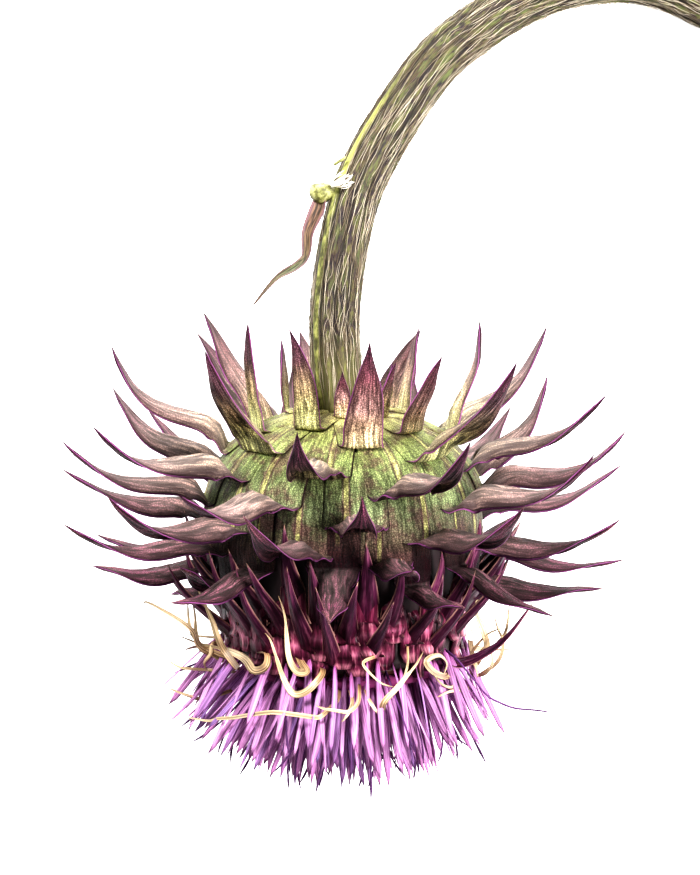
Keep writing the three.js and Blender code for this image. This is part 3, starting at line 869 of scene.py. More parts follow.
# %% Wrinkles and veins
long_way = add(skin, "Math", [run_mark, 4.0], operation="MULTIPLY")
one_each = add(skin, "Math", [seed_mark, 60.0, side_mark], operation="MULTIPLY_ADD")
wander = add(skin, "CombineXYZ", [long_way, one_each])
wander = add(skin, "TexNoise", {"Vector": wander, "Scale": 1.3, "Detail": 2.0}, out="Fac")
wander = add(skin, "Math", [wander, 0.24, across_mark], operation="MULTIPLY_ADD")
shades = []
for spacing, roughness in ((WRINKLE_WIDTH, 0.6), (VEIN_WIDTH, 0.5)):
    mm_across = add(skin, "Math", [wander, HALF_WIDTH / spacing], operation="MULTIPLY")
    where = add(skin, "CombineXYZ", [mm_across, long_way, one_each])
    lines = {"Vector": where, "Scale": 1.0, "Detail": 5.0, "Roughness": roughness}
    shades.append(add(skin, "TexNoise", lines, out="Fac"))
wrinkles, fine_lines = shades
cells = {"Vector": place_now, "Scale": 1 / (CELL_SIZE * MM)}
net = add(skin, "TexVoronoi", cells, out="Distance", feature="DISTANCE_TO_EDGE")
less_at_neck = add(skin, "MapRange", [age, 0.14, 0.3, 0.5, 1.0])
wrinkle_share = add(skin, "MapRange", [on_blade, 0.0, 1.0, 0.5, 1.0])
wrinkle_share = add(skin, "Math", [wrinkle_share, less_at_neck], operation="MULTIPLY")
# Painted light and shade: the wrinkles' ridges are made paler and their furrows darker, over their own
# streaks.
strong = add(skin, "MapRange", [wrinkles, 0.44, 0.57, 0.25, 2.1])
faint = add(skin, "MapRange", [wrinkles, 0.4, 0.62, 0.65, 1.3])
wrinkle_light_and_shade = add(skin, "Mix", {0: on_blade, 6: faint, 7: strong}, out=2, data_type="RGBA")
line_shade = add(skin, "MapRange", [fine_lines, 0.44, 0.56, 0.45, 1.75])
net_share = add(skin, "MapRange", [on_blade, 0.0, 1.0, 0.9, 1.0])
net_shade = add(skin, "MapRange", [net, 0.03, 0.2, 0.4, 1.45])

# %% [markdown]
# A pale bloom lies on the upper side, less on the inner bracts; it is partly a painted highlight,
# brightest on the wrinkles. Towards their rolled edges the blades darken with painted shade, and a
# thin rim follows them: magenta on the blades, and on the scales a nearly black line of painted
# shadow. The wrinkles also raise the surface.

# %% Bloom and painted highlight, painted shade, rims and relief
# Pale bloom, partly a painted highlight: the upper side is made lighter, most on the wrinkles' ridges.
bloom_and_highlight = add(skin, "MapRange", [side_mark, -0.2, 0.8, 0.0, 0.36])
less_inside = add(skin, "MapRange", [age, 0.5, 0.76, 1.0, 0.35])
for share in (wrinkles, on_blade, less_inside):
    bloom_and_highlight = add(skin, "Math", [bloom_and_highlight, share], operation="MULTIPLY")
edge = add(skin, "Math", [across_mark], operation="ABSOLUTE")
# Painted shade: the blades darken towards their rolled edges.
painted_edge_shade = add(skin, "MapRange", [edge, 0.5, 0.94, 0.0, 0.75])
painted_edge_shade = add(skin, "Math", [painted_edge_shade, on_blade], operation="MULTIPLY")
# A thin rim: magenta on the blades, their own colour; on the scales a nearly black line of painted shadow.
rim_and_edge_shadow = add(skin, "MapRange", [edge, 0.94, 0.97, 0.0, 0.9])
rim_and_shadow_colour = add(skin, "Mix", {0: on_blade, 6: "#2c1219", 7: "#a8609a"}, out=2, data_type="RGBA")
bract_layers = [
    (on_blade, blade_colour),
    (wrinkle_share, wrinkle_light_and_shade, "MULTIPLY"),
    (wrinkle_share, line_shade, "MULTIPLY"),
    (net_share, net_shade, "MULTIPLY"),
    (bloom_and_highlight, "#dec8c0"),
    (painted_edge_shade, "#30161e"),
    (rim_and_edge_shadow, rim_and_shadow_colour),
]
net_line = add(skin, "MapRange", [net, 0.0, 0.15, 1.0, 0.0])
height = add(skin, "Math", [fine_lines, 0.3, wrinkles], operation="MULTIPLY_ADD")
height = add(skin, "Math", [net_line, 0.1, height], operation="MULTIPLY_ADD")
dry_leaf = {"Roughness": 0.5, "IOR": 1.35, "Specular IOR Level": 0.3}
finish_skin(skin, scale_colour_and_shade, bract_layers, dry_leaf, height, strength=1.0, depth=0.6)
finish_piece(bracts_mesh, "bracts", skin, "bract", "involucre")

# %% [markdown]
# The inner bracts are as dark as wine, and the innermost ones shine, because their smooth
# surface never dried in the sun. A second material, glossier and darker, tells them apart.

# %% Inner bract material
INNER_STREAK = 0.45  # mm between the streaks
INNER_HALF_WIDTH = 1.6  # mm

skin, age, run_mark, across_mark, side_mark, seed_mark = new_skin("glossy inner bract", MARKS)
spike_stops = [(0.0, "#38101f"), (0.2, "#3a1428"), (0.7, "#441e36"), (0.93, "#64384c"), (1.0, "#b09078")]
# The pressed ones' bands are painted light and shade: painted highlights on the knuckle and the lip,
# painted shade in the dip between them and at the hidden root.
pressed_stops_with_painted_light = [
    (0.0, "#180410"),
    (0.4, "#30101e"),
    (0.56, "#6c3046"),
    (0.66, "#8c5066"),
    (0.74, "#622840"),
    (0.84, "#340e1e"),
    (0.92, "#5e263c"),
    (0.98, "#965e6c"),
]
spike_colour = add(skin, "ValToRGB", [run_mark], spike_stops)
band_place = add(skin, "MapRange", [seed_mark, 0.0, 1.0, -0.12, 0.12])
band_place = add(skin, "Math", [band_place, run_mark], operation="ADD")
pressed_colour_with_painted_light = add(skin, "ValToRGB", [band_place], pressed_stops_with_painted_light)
is_pressed = add(skin, "MapRange", [age, 2.4, 2.6])
is_free = add(skin, "Math", [1.0, is_pressed], operation="SUBTRACT")
is_base = add(skin, "MapRange", [run_mark, 0.0, -0.05])
own_shade = add(skin, "MapRange", [seed_mark, 0.0, 1.0, 0.7, 1.35])
streak_scale = INNER_HALF_WIDTH / INNER_STREAK
mm_across = add(skin, "Math", [across_mark, streak_scale], operation="MULTIPLY")
long_way = add(skin, "Math", [run_mark, 2.5], operation="MULTIPLY")
one_each = add(skin, "Math", [seed_mark, 60.0, side_mark], operation="MULTIPLY_ADD")
where = add(skin, "CombineXYZ", [mm_across, long_way, one_each])
lines = {"Vector": where, "Scale": 1.0, "Detail": 3.0, "Roughness": 0.6}
streaks = add(skin, "TexNoise", lines, out="Fac")
streak_shade = add(skin, "MapRange", [streaks, 0.38, 0.64, 0.45, 1.7])

# Painted highlights on the crests between the streaks, painted shade in the gaps where the pressed
# ones meet, and straw-coloured rims.
edge = add(skin, "Math", [across_mark], operation="ABSOLUTE")
painted_highlight_share = add(skin, "MapRange", [is_pressed, 0.0, 1.0, 0.3, 1.0])
details = []
for source, low, high, most, share, shade in (
    (streaks, 0.56, 0.68, 0.45, painted_highlight_share, "#d894a0"),
    (edge, 0.4, 0.95, 0.9, is_pressed, "#260614"),
    (edge, 0.88, 0.97, 0.75, is_free, "#b48c80"),
):
    detail = add(skin, "MapRange", [source, low, high, 0.0, most])
    details.append((add(skin, "Math", [detail, share], operation="MULTIPLY"), shade))
inner_layers = [
    (is_base, "#4c1a2e"),
    (is_pressed, pressed_colour_with_painted_light),
    (1.0, own_shade, "MULTIPLY"),
    (1.0, streak_shade, "MULTIPLY"),
]
waxy_leaf = {"Roughness": 0.28, "IOR": 1.33, "Specular IOR Level": 0.3}
finish_skin(skin, spike_colour, inner_layers + details, waxy_leaf, streaks, strength=0.8, depth=0.2)
finish_piece(inner_mesh, "inner_bracts", skin, "bract", "involucre")

# %% [markdown]
# The wall of the cup shows only in the gaps between the scales, where hardly any light comes. A
# skin rolled like a bract would do too, but a spun outline has one clean wall and closed poles.

# %% Cup
CUP_ROWS, CUP_STEPS = 40, 96

cup_points = [UP * -MOUTH_DEPTH]
for i in range(CUP_ROWS, -1, -1):
    radius, height = outline(i / CUP_ROWS * math.pi)
    cup_points.append(UP * height + outward(0) * radius)
cup_mesh = marked_mesh()
lathe(cup_mesh, cup_points, CUP_STEPS)

# Painted shade: the bare wall is dull and nearly black, so that the gaps between the scales read as shade.
(skin,) = new_skin("bare cup wall")
finish_skin(skin, "#241216", [], {"Roughness": 0.6})
finish_piece(cup_mesh, "cup", skin, "bract", "involucre")

# %% [markdown]
# ## The florets
# The brush is several hundred narrow tubes that split into lobes. What shows is their limbs:
# flat straps about a millimetre wide, violet, with a few that dried blue. Past them reach
# the styles, thin and dark. Both stand on a low dome and splay out towards the rim.

# %% Florets
FLORET_BED_RADIUS = 12.6
FLORET_REACH = 12.1  # radius of the outermost roots
BED_TOP = -MOUTH_TO_FLORETS
BED_RIM = 0.8
BED_CROWN = 2.8
RIM_LIFT = 2.4  # of the outermost roots, between the innermost bracts
FLORETS = 400
RIM_FLORETS = 60
LOPSIDED = 0.24  # how much more the brush fans out on its left
FLORET_LENGTH = 12.4
STYLES = 64
STRAP_AROUND = 6
STRAP_ROWS = 9
STYLE_RADIUS = 0.14
LONG_STYLE_RADIUS = 0.22  # thicker than the others, so that it shows against the table
STYLE_SEED = 2.0  # a seed mark past 1 tells the material that this is a style


def bed_at(share):
    return BED_TOP - BED_RIM - (BED_CROWN - BED_RIM) * (1 - share**3)


def floret_frame(n, count, salt):
    share = math.sqrt((n + 0.5) / count)
    angle = n * GOLDEN_ANGLE
    splay = 47 * (1 - LOPSIDED * math.sin(angle)) * share**2.4 + 7 * sway(n, salt)
    forward = heading(angle, math.radians(splay - 90), 0.22 * sway(n, salt + 1))
    root = outward(angle) * FLORET_REACH * share + UP * (bed_at(share) + 0.3 + RIM_LIFT * share**6)
    return share, angle, forward, root


def floret(bm, n):
    """One strap. The last ones come out between the innermost bracts, above the mouth."""
    if n < FLORETS:
        share, angle, forward, root = floret_frame(n, FLORETS, 31)
        length = FLORET_LENGTH * (0.9 + 0.08 * share**3 + 0.13 * sway(n, 36))
    else:
        share, angle = 1.0, n * GOLDEN_ANGLE
        splay = 30 * (1 - 1.5 * LOPSIDED * math.sin(angle)) + 14 * sway(n, 31)
        forward = heading(angle, math.radians(splay - 90), 0.2 * sway(n, 32))
        root = on_cup(cup_track[-1][0] - 0.4 - 1.8 * draw(n, 33), angle, 0.2)
        length = 11 * (1 + 0.15 * sway(n, 36))
    half = 0.34 + 0.26 * draw(n, 37)
    turn_about = math.radians(60 * sway(n, 34))
    droop = (forward - UP * 0.15 * share + sideways(angle) * 0.14 * sway(n, 35)).normalized()
    seed = draw(n, 38)
    widths = [(0, 0.5), (0.2, 0.8), (0.5, 1), (0.78, 0.85), (0.92, 0.4 + 0.3 * (n % 2)), (1, 0)]

    def station(row, t):
        bend = eased(0.2, 0.9, t)
        point = root + (forward * (1 - 0.5 * bend) + droop * 0.5 * bend) * length * t
        across, lift = framed(forward, sideways(angle).cross(forward), turn_about)
        return point, across, lift, half * along(widths, t), 0.08

    strand(bm, STRAP_AROUND, STRAP_ROWS, station, share, seed, gutter=0.15)


florets_mesh = marked_mesh()
for n in range(FLORETS + RIM_FLORETS):
    floret(florets_mesh, n)
print("florets:", len(florets_mesh.faces), "faces")


# %% [markdown]
# The styles are dark threads that reach past the florets and curl a little. They are round
# strands, so they take the same rolling as the straps, with fewer sides. One at the right hangs
# far out along listed points.


# %% Styles
def style(bm, n):
    share, angle, forward, root = floret_frame(n, STYLES, 51)
    length = FLORET_LENGTH * (0.86 + 0.32 * draw(n, 53))
    curl = sideways(angle) * 3.6 * sway(n, 54) + outward(angle) * 2.4 * sway(n, 55) - UP * 0.3 * share
    across, lift = framed(forward, sideways(angle).cross(forward), 0)

    def station(row, t):
        radius = STYLE_RADIUS * (1.1 - 0.3 * t) * (1.5 if row == STRAP_ROWS - 1 else 1)
        return root + forward * length * t + curl * t**4, across, lift, radius, radius

    strand(bm, 4, STRAP_ROWS, station, share, STYLE_SEED)


for n in range(STYLES):
    style(florets_mesh, n)

LONG_STYLE = [(12, -14, 9), (13.5, -15, 10), (15.5, -17.4, 10), (17.2, -19.5, 10)]
LONG_STYLE += [(18.9, -20.7, 9), (20.7, -21.6, 8), (23.3, -22.1, 7), (25, -22.6, 6)]
long_line = smooth_line([Vector(point) for point in LONG_STYLE], STRAP_ROWS * 2)


def long_style(row, t):
    radius = LONG_STYLE_RADIUS * (1 - 0.6 * t)
    return long_line[row], Vector((0, 1, 0)), Vector((0, 0, 1)), radius, radius


strand(florets_mesh, 6, STRAP_ROWS * 2, long_style, 1.0, STYLE_SEED)
print("with the styles:", len(florets_mesh.faces), "faces")

# %% [markdown]
# All of them root on a low dome, spun like the cup. It closes the brush from below.

# %% Bed of the florets
BED_ROWS, BED_STEPS = 6, 48

bed_points = [UP * BED_TOP, UP * BED_TOP + outward(0) * FLORET_BED_RADIUS]
for i in range(BED_ROWS, -1, -1):
    share = i / BED_ROWS
    bed_points.append(UP * bed_at(share) + outward(0) * FLORET_BED_RADIUS * share)
lathe(florets_mesh, bed_points, BED_STEPS)
print("with their bed:", len(florets_mesh.faces), "faces")

# %% [markdown]
# A dried floret is papery and dull: its cells have collapsed, so it scatters light and hardly
# shines. Each strap has its own tone, from blue to lilac, with fine lines along it and dark edges.

# %% Floret material
LINES_ACROSS = 3.2  # over half a strap: 0.15 mm from line to line, coarser than the real ones

skin, strap_along, strap_across, strap_seed = new_skin("dried violet floret", ("along", "across", "seed"))
run_stops = [(0.0, "#74305a"), (0.12, "#9a5c8c"), (0.3, "#b07aa8")]
run_stops += [(0.7, "#b484ae"), (0.9, "#a06c94"), (1.0, "#704064")]
own_stops = [(0.0, "#5a5894"), (0.07, "#7c6498"), (0.25, "#a8729e"), (0.6, "#bc90b6"), (0.95, "#98648e")]
violet = add(skin, "ValToRGB", [strap_along], run_stops)
tone = add(skin, "ValToRGB", [strap_seed], own_stops)
past_root = add(skin, "MapRange", [strap_along, 0.1, 0.3, 0.0, 0.5])
is_style = add(skin, "MapRange", [strap_seed, 1.5, 1.6])
one_each = add(skin, "Math", [strap_seed, 80.0], operation="MULTIPLY")
mm_across = add(skin, "Math", [strap_across, LINES_ACROSS], operation="MULTIPLY")
long_way = add(skin, "Math", [strap_along, 1.5], operation="MULTIPLY")
where = add(skin, "CombineXYZ", [mm_across, one_each, long_way])
lines = add(skin, "TexNoise", {"Vector": where, "Scale": 1.0, "Detail": 3.0}, out="Fac")
line_shade = add(skin, "MapRange", [lines, 0.42, 0.58, 0.65, 1.25])
edge = add(skin, "Math", [strap_across], operation="ABSOLUTE")
dark_edge = add(skin, "MapRange", [edge, 0.7, 0.95, 0.0, 0.4])
petal_layers = [
    (past_root, tone),
    (is_style, "#5a3460"),
    (1.0, line_shade, "MULTIPLY"),
    (dark_edge, "#8c5890"),
]
finish_skin(skin, violet, petal_layers, {"Roughness": 0.8, "IOR": 1.3}, lines, strength=0.6, depth=0.1)
finish_piece(florets_mesh, "florets_brush", skin, "petal", "florets")

# %% [markdown]
# ## The dry inner bracts
# The tips of the innermost bracts have dried into straw: thin golden ribbons that curl out over
# the florets. Those at the back repeat the CAD's, and the others are the loops and curls that
# show in front, each laid along a few listed points.

# %% Straw ribbons
DRY_BRACTS = 18
DRY_BRACT_LENGTH = 13.0
LENGTHS = 5  # straight lengths that each of them is laid out in, before it is smoothed
IN_FRONT = 0.1  # they stay out of the front, where each ribbon is laid along listed points
RIBBON_ROWS = 36
RIBBON_AROUND = 8
DISC_RADIUS = 11.5
DISC_THICKNESS = 1.0
DISC_MIDDLE = -MOUTH_DEPTH - 0.3 - DISC_THICKNESS / 2
RIBBON_THICKNESS = 0.09
SEEN_RIBBONS = [  # how broad each ribbon in front is, and its points in mm from the head's centre
    (0.85, [(-10.2, -14.1, 10.3), (-9.3, -13.9, 12.4), (-9.4, -14.9, 13.9), (-10.7, -15.6, 13),
        (-11.7, -14.7, 11.7), (-13.4, -14.9, 7.2), (-15.1, -15.1, 4), (-17.7, -14.7, 3),
        (-20.2, -14, 2)]),
    (0.41, [(-13.7, -16.2, 2.9), (-15.2, -16.2, 2), (-16.7, -15.7, 3), (-17.8, -14.6, 4),
        (-18.3, -12.8, 5), (-19.8, -11.2, 6), (-22.6, -9.5, 6), (-24, -9.1, 5), (-24.3, -9.4, 5)]),
    (0.45, [(-13.1, -17.3, 5.1), (-15.9, -16.4, 2), (-17.5, -15.4, 2.6), (-18, -13.4, 3),
        (-18.1, -11.4, 3), (-18.5, -9.5, 2)]),
    (0.38, [(-13.1, -16.3, 5.1), (-16.9, -15.3, 3), (-17.9, -14.1, 4), (-18.6, -12.6, 4.5),
        (-18.9, -11, 4), (-19, -9.4, 3)]),
    (0.6, [(-12.6, -16.5, 9.4), (-14.4, -14.6, 7.5), (-15.2, -12.8, 8), (-15.8, -10.9, 8),
        (-16.8, -8.5, 8), (-17.8, -6.7, 7)]),
    (0.38, [(-12.6, -15.4, 6.4), (-15, -15.3, 2), (-16, -14.8, 3), (-16.3, -15.9, 4), (-17, -16.9, 4),
        (-16.7, -18.2, 3)]),
    (0.64, [(-2.6, -15, 14.5), (-2.6, -15.4, 15.5), (-3.2, -16, 16.9), (-4.3, -17, 17.5),
        (-5.5, -17.6, 17.1), (-6.3, -17.3, 16.7), (-7.1, -16, 16.2), (-7.8, -14.1, 15.7),
        (-8.3, -12.6, 15.3), (-8.8, -11.5, 14.4), (-9.6, -11, 12.6)]),
    (0.71, [(-5.6, -13.6, 13.2), (-5.1, -14.5, 14.3), (-4.5, -15.2, 15.5), (-5.4, -15.1, 16.6),
        (-6.1, -14.2, 17.3), (-6.6, -12.7, 17.5), (-6.8, -10.5, 17.3), (-6.9, -8.6, 17.3),
        (-7.2, -7.3, 16.6), (-7.8, -6, 15.2)]),
    (0.38, [(-0.6, -17.4, 14.8), (-0.7, -18.4, 15.8), (-1.3, -19, 16.7), (-2, -19.5, 17.6),
        (-2.9, -20, 18.5), (-3.9, -20, 18.4), (-5.9, -19.7, 18.4), (-8.3, -19.6, 17.8),
        (-10.7, -20.2, 16.4), (-13.3, -21.4, 13.4), (-15, -21.8, 12.2), (-16.2, -22.4, 11),
        (-17.6, -22.6, 9.5), (-18.7, -22.8, 8), (-18.5, -23.5, 7)]),
    (0.3, [(1.8, -16.9, 14.7), (1.8, -18.2, 16.2), (1.4, -18.9, 17.7), (0.4, -19.3, 18.8),
        (-1.2, -19, 19.2), (-2.6, -18.8, 19), (-3.4, -18.5, 18.3)]),
    (0.56, [(4.5, -20, 16), (4.5, -19.4, 17), (4.9, -18.2, 17.9), (6.2, -16.8, 17.8), (7.3, -15.6, 17),
        (8.6, -14.3, 15.6), (9.5, -13.1, 13.8)]),
    (0.26, [(4.2, -13.7, 13.6), (3.2, -13.6, 15.4), (2.4, -13.7, 16.6), (2.3, -14, 17.6),
        (3.2, -15, 18), (4.5, -16.1, 18), (6, -16.7, 17.3)]),
    (0.22, [(7.5, -12, 12), (7.6, -14, 13.9), (7.4, -15, 15.5), (6.9, -16, 16.8), (6.2, -16.8, 17.3)]),
    (0.6, [(13.5, -17.7, 3.7), (12.4, -17.4, 8.7), (11.6, -16.8, 11.1), (10.6, -15.8, 13),
        (9.8, -14.4, 14.5), (10.4, -13.9, 13.8), (11.5, -14.2, 11.8), (12.3, -15.5, 10),
        (12.1, -16.6, 9.7), (11.7, -17.3, 10.1)]),
    (0.38, [(14.2, -18, 1), (12.4, -17.3, 8.7), (13.4, -17.8, 6.7), (13.7, -18.8, 5.1),
        (12.9, -18.6, 9.5), (11.7, -17.6, 11.9), (10.6, -16, 13.5)]),
    (0.34, [(15.9, -20.1, 3), (15.1, -20.1, 4), (14.2, -20.1, 5), (12.6, -18.9, 10.6),
        (11.1, -18.9, 13.4)]),
    (0.64, [(15.2, -19.3, 1), (16.6, -16.3, 3), (17.3, -14.8, 4), (17, -13.3, 4.5), (16.4, -11.7, 4.5),
        (15.9, -10.3, 4.5), (16.1, -9.2, 4), (16.6, -9.3, 4)]),
    (0.56, [(15.4, -14.9, 0.5), (15.6, -16.2, 2), (16.1, -17.7, 3), (16.3, -18.9, 3.5)]),
    (0.3, [(16.4, -19.3, 1), (17, -18.7, 2), (18.5, -17.3, 3), (19.2, -15.7, 4), (19.3, -14, 4.5),
        (18.7, -12.5, 5), (18.2, -10.7, 5)]),
    (0.26, [(15.4, -17.9, 1), (17.8, -15.6, 3), (19, -14.1, 4), (19.6, -12.8, 5), (19.9, -11.2, 5),
        (20.1, -9.1, 4)]),
    (0.3, [(13.8, -15.6, 1.6), (14.4, -16.7, 3), (15.2, -16.8, 3.6), (15.8, -15.3, 4),
        (17.4, -13.3, 4.5), (19.1, -12.5, 4.5)]),
    (0.26, [(15.4, -19.3, 1), (17, -18.6, 3), (17.9, -17.3, 4), (18, -16.1, 4.5), (17.6, -15, 4.5)]),
    (0.3, [(0.7, -17.8, 14.3), (1, -18.6, 16.8), (0.5, -19.8, 17.8), (-0.3, -20.7, 18.3)]),
    (0.3, [(-13.6, -20.5, 3.3), (-17.2, -21.9, 2), (-19.2, -21.2, 3), (-21.5, -20.3, 3)]),
    (0.22, [(-13.1, -17.9, 4.7), (-16.4, -18.3, 2), (-18.6, -17.9, 3), (-20, -17.6, 3.5),
        (-21.6, -16.8, 3)]),
    (0.34, [(2.5, -17.8, 14.1), (3, -18.5, 16.5), (3.6, -19.3, 17.3), (4.2, -20.1, 17.1)]),
]


def ribbon(bm, points, width, curl, seed):
    """A thin ribbon along the points, in the head's frame, that turns about itself by curl."""
    line = smooth_line(points, RIBBON_ROWS)
    even = max(0.4, 1.1 - 0.8 * width)  # a thin wisp is as wide all along

    def station(row, t):
        across, lift = framed(forward_at(line, row), Vector((0.25, 0.35, 0.9)), curl * t + 1.5 * seed)
        full = math.sin(math.pi * min(1, 0.25 + t)) ** 0.6
        reach = width / 2 * (even + (1 - even) * full) * (1 - t**8)
        return line[row], across, lift, reach, RIBBON_THICKNESS

    strand(bm, RIBBON_AROUND, RIBBON_ROWS, station, 1.0, seed, gutter=0.35, power=2)


straw_mesh = marked_mesh()
for n in range(DRY_BRACTS):
    angle = (n + 0.3 * sway(n, 21)) / DRY_BRACTS * 2 * math.pi
    length = DRY_BRACT_LENGTH * (1 + 0.3 * sway(n, 22))
    curl = math.radians(110 * sway(n, 23))
    rise = math.radians(8 + 22 * sway(n, 24))
    point = outward(angle) * (FLORET_BED_RADIUS - 1.2) + UP * DISC_MIDDLE
    points = [point.copy()]
    for i in range(LENGTHS):
        t = i / LENGTHS
        climb = rise * math.sin(math.pi * min(1, 1.4 * t))
        point += heading(angle, climb, curl * t * t) * length / LENGTHS
        points.append(point.copy())
    if outward(angle).z < IN_FRONT:
        ribbon(straw_mesh, points, 0.7 + 0.6 * draw(n, 25), 2.5 * sway(n, 26), draw(n, 27))
for n, (broad, points) in enumerate(SEEN_RIBBONS):
    points = [Vector(point) for point in points]
    ribbon(straw_mesh, points, 0.12 + 1.2 * broad, 0.8 * sway(n, 28), 0.3 * draw(n, 29))
print("straw ribbons:", len(straw_mesh.faces), "faces")

# %% [markdown]
# The ribbons grow from a thin disc inside the mouth, which hardly shows: a cone with two equal
# radii. Straw is bleached and a little silky, with fibres along it that catch the light.

# %% Straw disc and its finish
FIBRES_ACROSS = 2.5  # over half a ribbon, about 0.15 mm apart: coarser than the real ones

facing_axis = Matrix.Rotation(math.pi / 2, 4, "X")
bmesh.ops.create_cone(
    straw_mesh,
    cap_ends=True,
    segments=48,
    radius1=DISC_RADIUS * MM,
    radius2=DISC_RADIUS * MM,
    depth=DISC_THICKNESS * MM,
    matrix=Matrix.Translation(in_place(UP * DISC_MIDDLE)) @ facing_axis,
)

skin, straw_along, straw_across, straw_seed = new_skin("dry straw ribbon", ("along", "across", "seed"))
straw_stops = [(0.0, "#4a2c24"), (0.1, "#947656"), (0.5, "#c4ac8a"), (0.85, "#bca482"), (1.0, "#8c7252")]
straw = add(skin, "ValToRGB", [straw_along], straw_stops)
fibres_across = add(skin, "Math", [straw_across, FIBRES_ACROSS], operation="MULTIPLY")
one_each = add(skin, "Math", [straw_seed, 90.0], operation="MULTIPLY")
where = add(skin, "CombineXYZ", [fibres_across, straw_along, one_each])
fibres = add(skin, "TexNoise", {"Vector": where, "Scale": 1.6, "Detail": 3.0}, out="Fac")
fibre_shade = add(skin, "MapRange", [fibres, 0.42, 0.58, 0.42, 1.5])
shaded = [(1.0, fibre_shade, "MULTIPLY")]
finish_skin(skin, straw, shaded, {"Roughness": 0.4}, fibres, strength=0.5, depth=0.1)
finish_piece(straw_mesh, "straw_ribbons", skin, "straw", "dry_bracts")

# %% [markdown]
# ## The stem
# The stem is ribbed and felted with pale hairs that lie along it. Its skin is rolled round the
# middle line of the CAD stem, with the ribs in its section.

# %% Stem skin
STEM_RADIUS = 2.9
STEM_ROWS = 170
STEM_AROUND = 80
RIBS = 10
STEM_POINTS = [
    (-0.6, 13.7, 0),
    (-1.1, 21.6, -0.1),
    (-1.0, 27.0, -0.5),
    (0.0, 34.1, -1.6),
    (2.0, 41.1, -3.6),
    (5.9, 47.9, -6.9),
    (11.2, 54.8, -11.4),
    (16.5, 58.9, -14.9),
    (21.9, 61.9, -18.2),
    (27.6, 63.8, -21.2),
    (34.7, 64.5, -24.4),
    (40.3, 63.5, -26.4),
    (46.1, 60.9, -27.8),
    (49.6, 59.2, -28.2),
]
stem_line = smooth_line([Vector(p) for p in STEM_POINTS], STEM_ROWS)


def stem_frames(line):
    """forward, across and lift at each point, carried along without twisting."""
    frames = []
    across = Vector((1, 0, 0))
    for k in range(len(line)):
        forward = forward_at(line, k)
        across = (across - forward * across.dot(forward)).normalized()
        frames.append((forward, across, across.cross(forward)))
    return frames


stem_frame = stem_frames(stem_line)


def stem_radius(turn, row):
    """The skin's distance from the middle line: ribs, with smaller wrinkles between."""
    drift = 0.5 * math.sin(row / STEM_ROWS * 9)
    ribs = 0.15 * math.cos(RIBS * turn + drift)
    return STEM_RADIUS + ribs + 0.05 * math.cos(23 * turn + 1.7 * drift)


def on_stem(row, turn, lift):
    """A point that stands off the stem's skin. turn is 0 on the right and goes round by below."""
    k = min(STEM_ROWS - 1, int(row))
    f = row - k
    point = stem_line[k].lerp(stem_line[k + 1], f)
    _, across, up = stem_frame[k]
    side = across * math.cos(turn) - up * math.sin(turn)
    return point + side * (stem_radius(turn, row) + lift)


stem_mesh = marked_mesh()


def place_stem(row, turn):
    marks = (0.0, row / STEM_ROWS, turn / (2 * math.pi), stem_radius(turn, row) - STEM_RADIUS, 0.0)
    if row in (0, STEM_ROWS):
        return stem_line[row], marks
    ring = {1: 0, STEM_ROWS - 1: STEM_ROWS}.get(row, row)  # these two are the rims of the flat ends
    return on_stem(ring, turn, 0), marks


roll(stem_mesh, STEM_AROUND, STEM_ROWS, place_stem)
print("stem skin:", len(stem_mesh.faces), "faces")

# %% [markdown]
# Its down is more than two thousand pale hairs, pressed against the skin by the drying. A hair
# system wouldn't be exported, so each is a strand with three sides that starts on the skin.

# %% Stem hairs
HAIRS = 2300
HAIR_ROWS = 5
HAIR_RADIUS = 0.034  # about twice the real one, so that each hair shows
LEFT_RIB = 0.61  # share of a turn round the stem where its greenest rib runs


def hair(bm, n):
    """A pale hair that lies along the stem, its tip lifting a little. The left rib is bare."""
    start = draw(n, 61) * (STEM_ROWS - 14) + 1
    turn_start = 2 * math.pi * (LEFT_RIB + 0.02 + 0.96 * draw(n, 62))
    rows_long = 5 + 8 * draw(n, 63)
    drift = 0.2 * sway(n, 64)
    wave = 0.07 * sway(n, 65)
    seed = draw(n, 66)

    def station(row, t):
        where = min(STEM_ROWS - 0.5, start + rows_long * t)
        about = turn_start + drift * t + wave * math.sin(7 * t + 6 * seed)
        lift = 0.03 + 0.15 * seed * math.sin(math.pi * t) + 0.4 * draw(n, 67) ** 4 * t
        _, across, up = stem_frame[int(where)]
        radius = HAIR_RADIUS * (1.1 - 0.6 * t)
        return on_stem(where, about, lift), across, up, radius, radius

    strand(bm, 3, HAIR_ROWS, station, 1.0, seed)


for n in range(HAIRS):
    hair(stem_mesh, n)
print("stem with hairs:", len(stem_mesh.faces), "faces")

# %% [markdown]
# The skin itself is nearly black where it is old and green where it is young. The felt of hairs
# scatters the light, so the stem looks dull and greyish. Its streaks follow a ring of coordinates
# made from the turn, because a turn that jumps from 1 back to 0 would leave a seam.

# %% Stem material
STREAK_WIDTH = STEM_RADIUS / 7  # mm, so 0.4 mm across a dark streak
GREEN_WIDTH = STEM_RADIUS / 4  # mm, so 0.7 mm across a green one

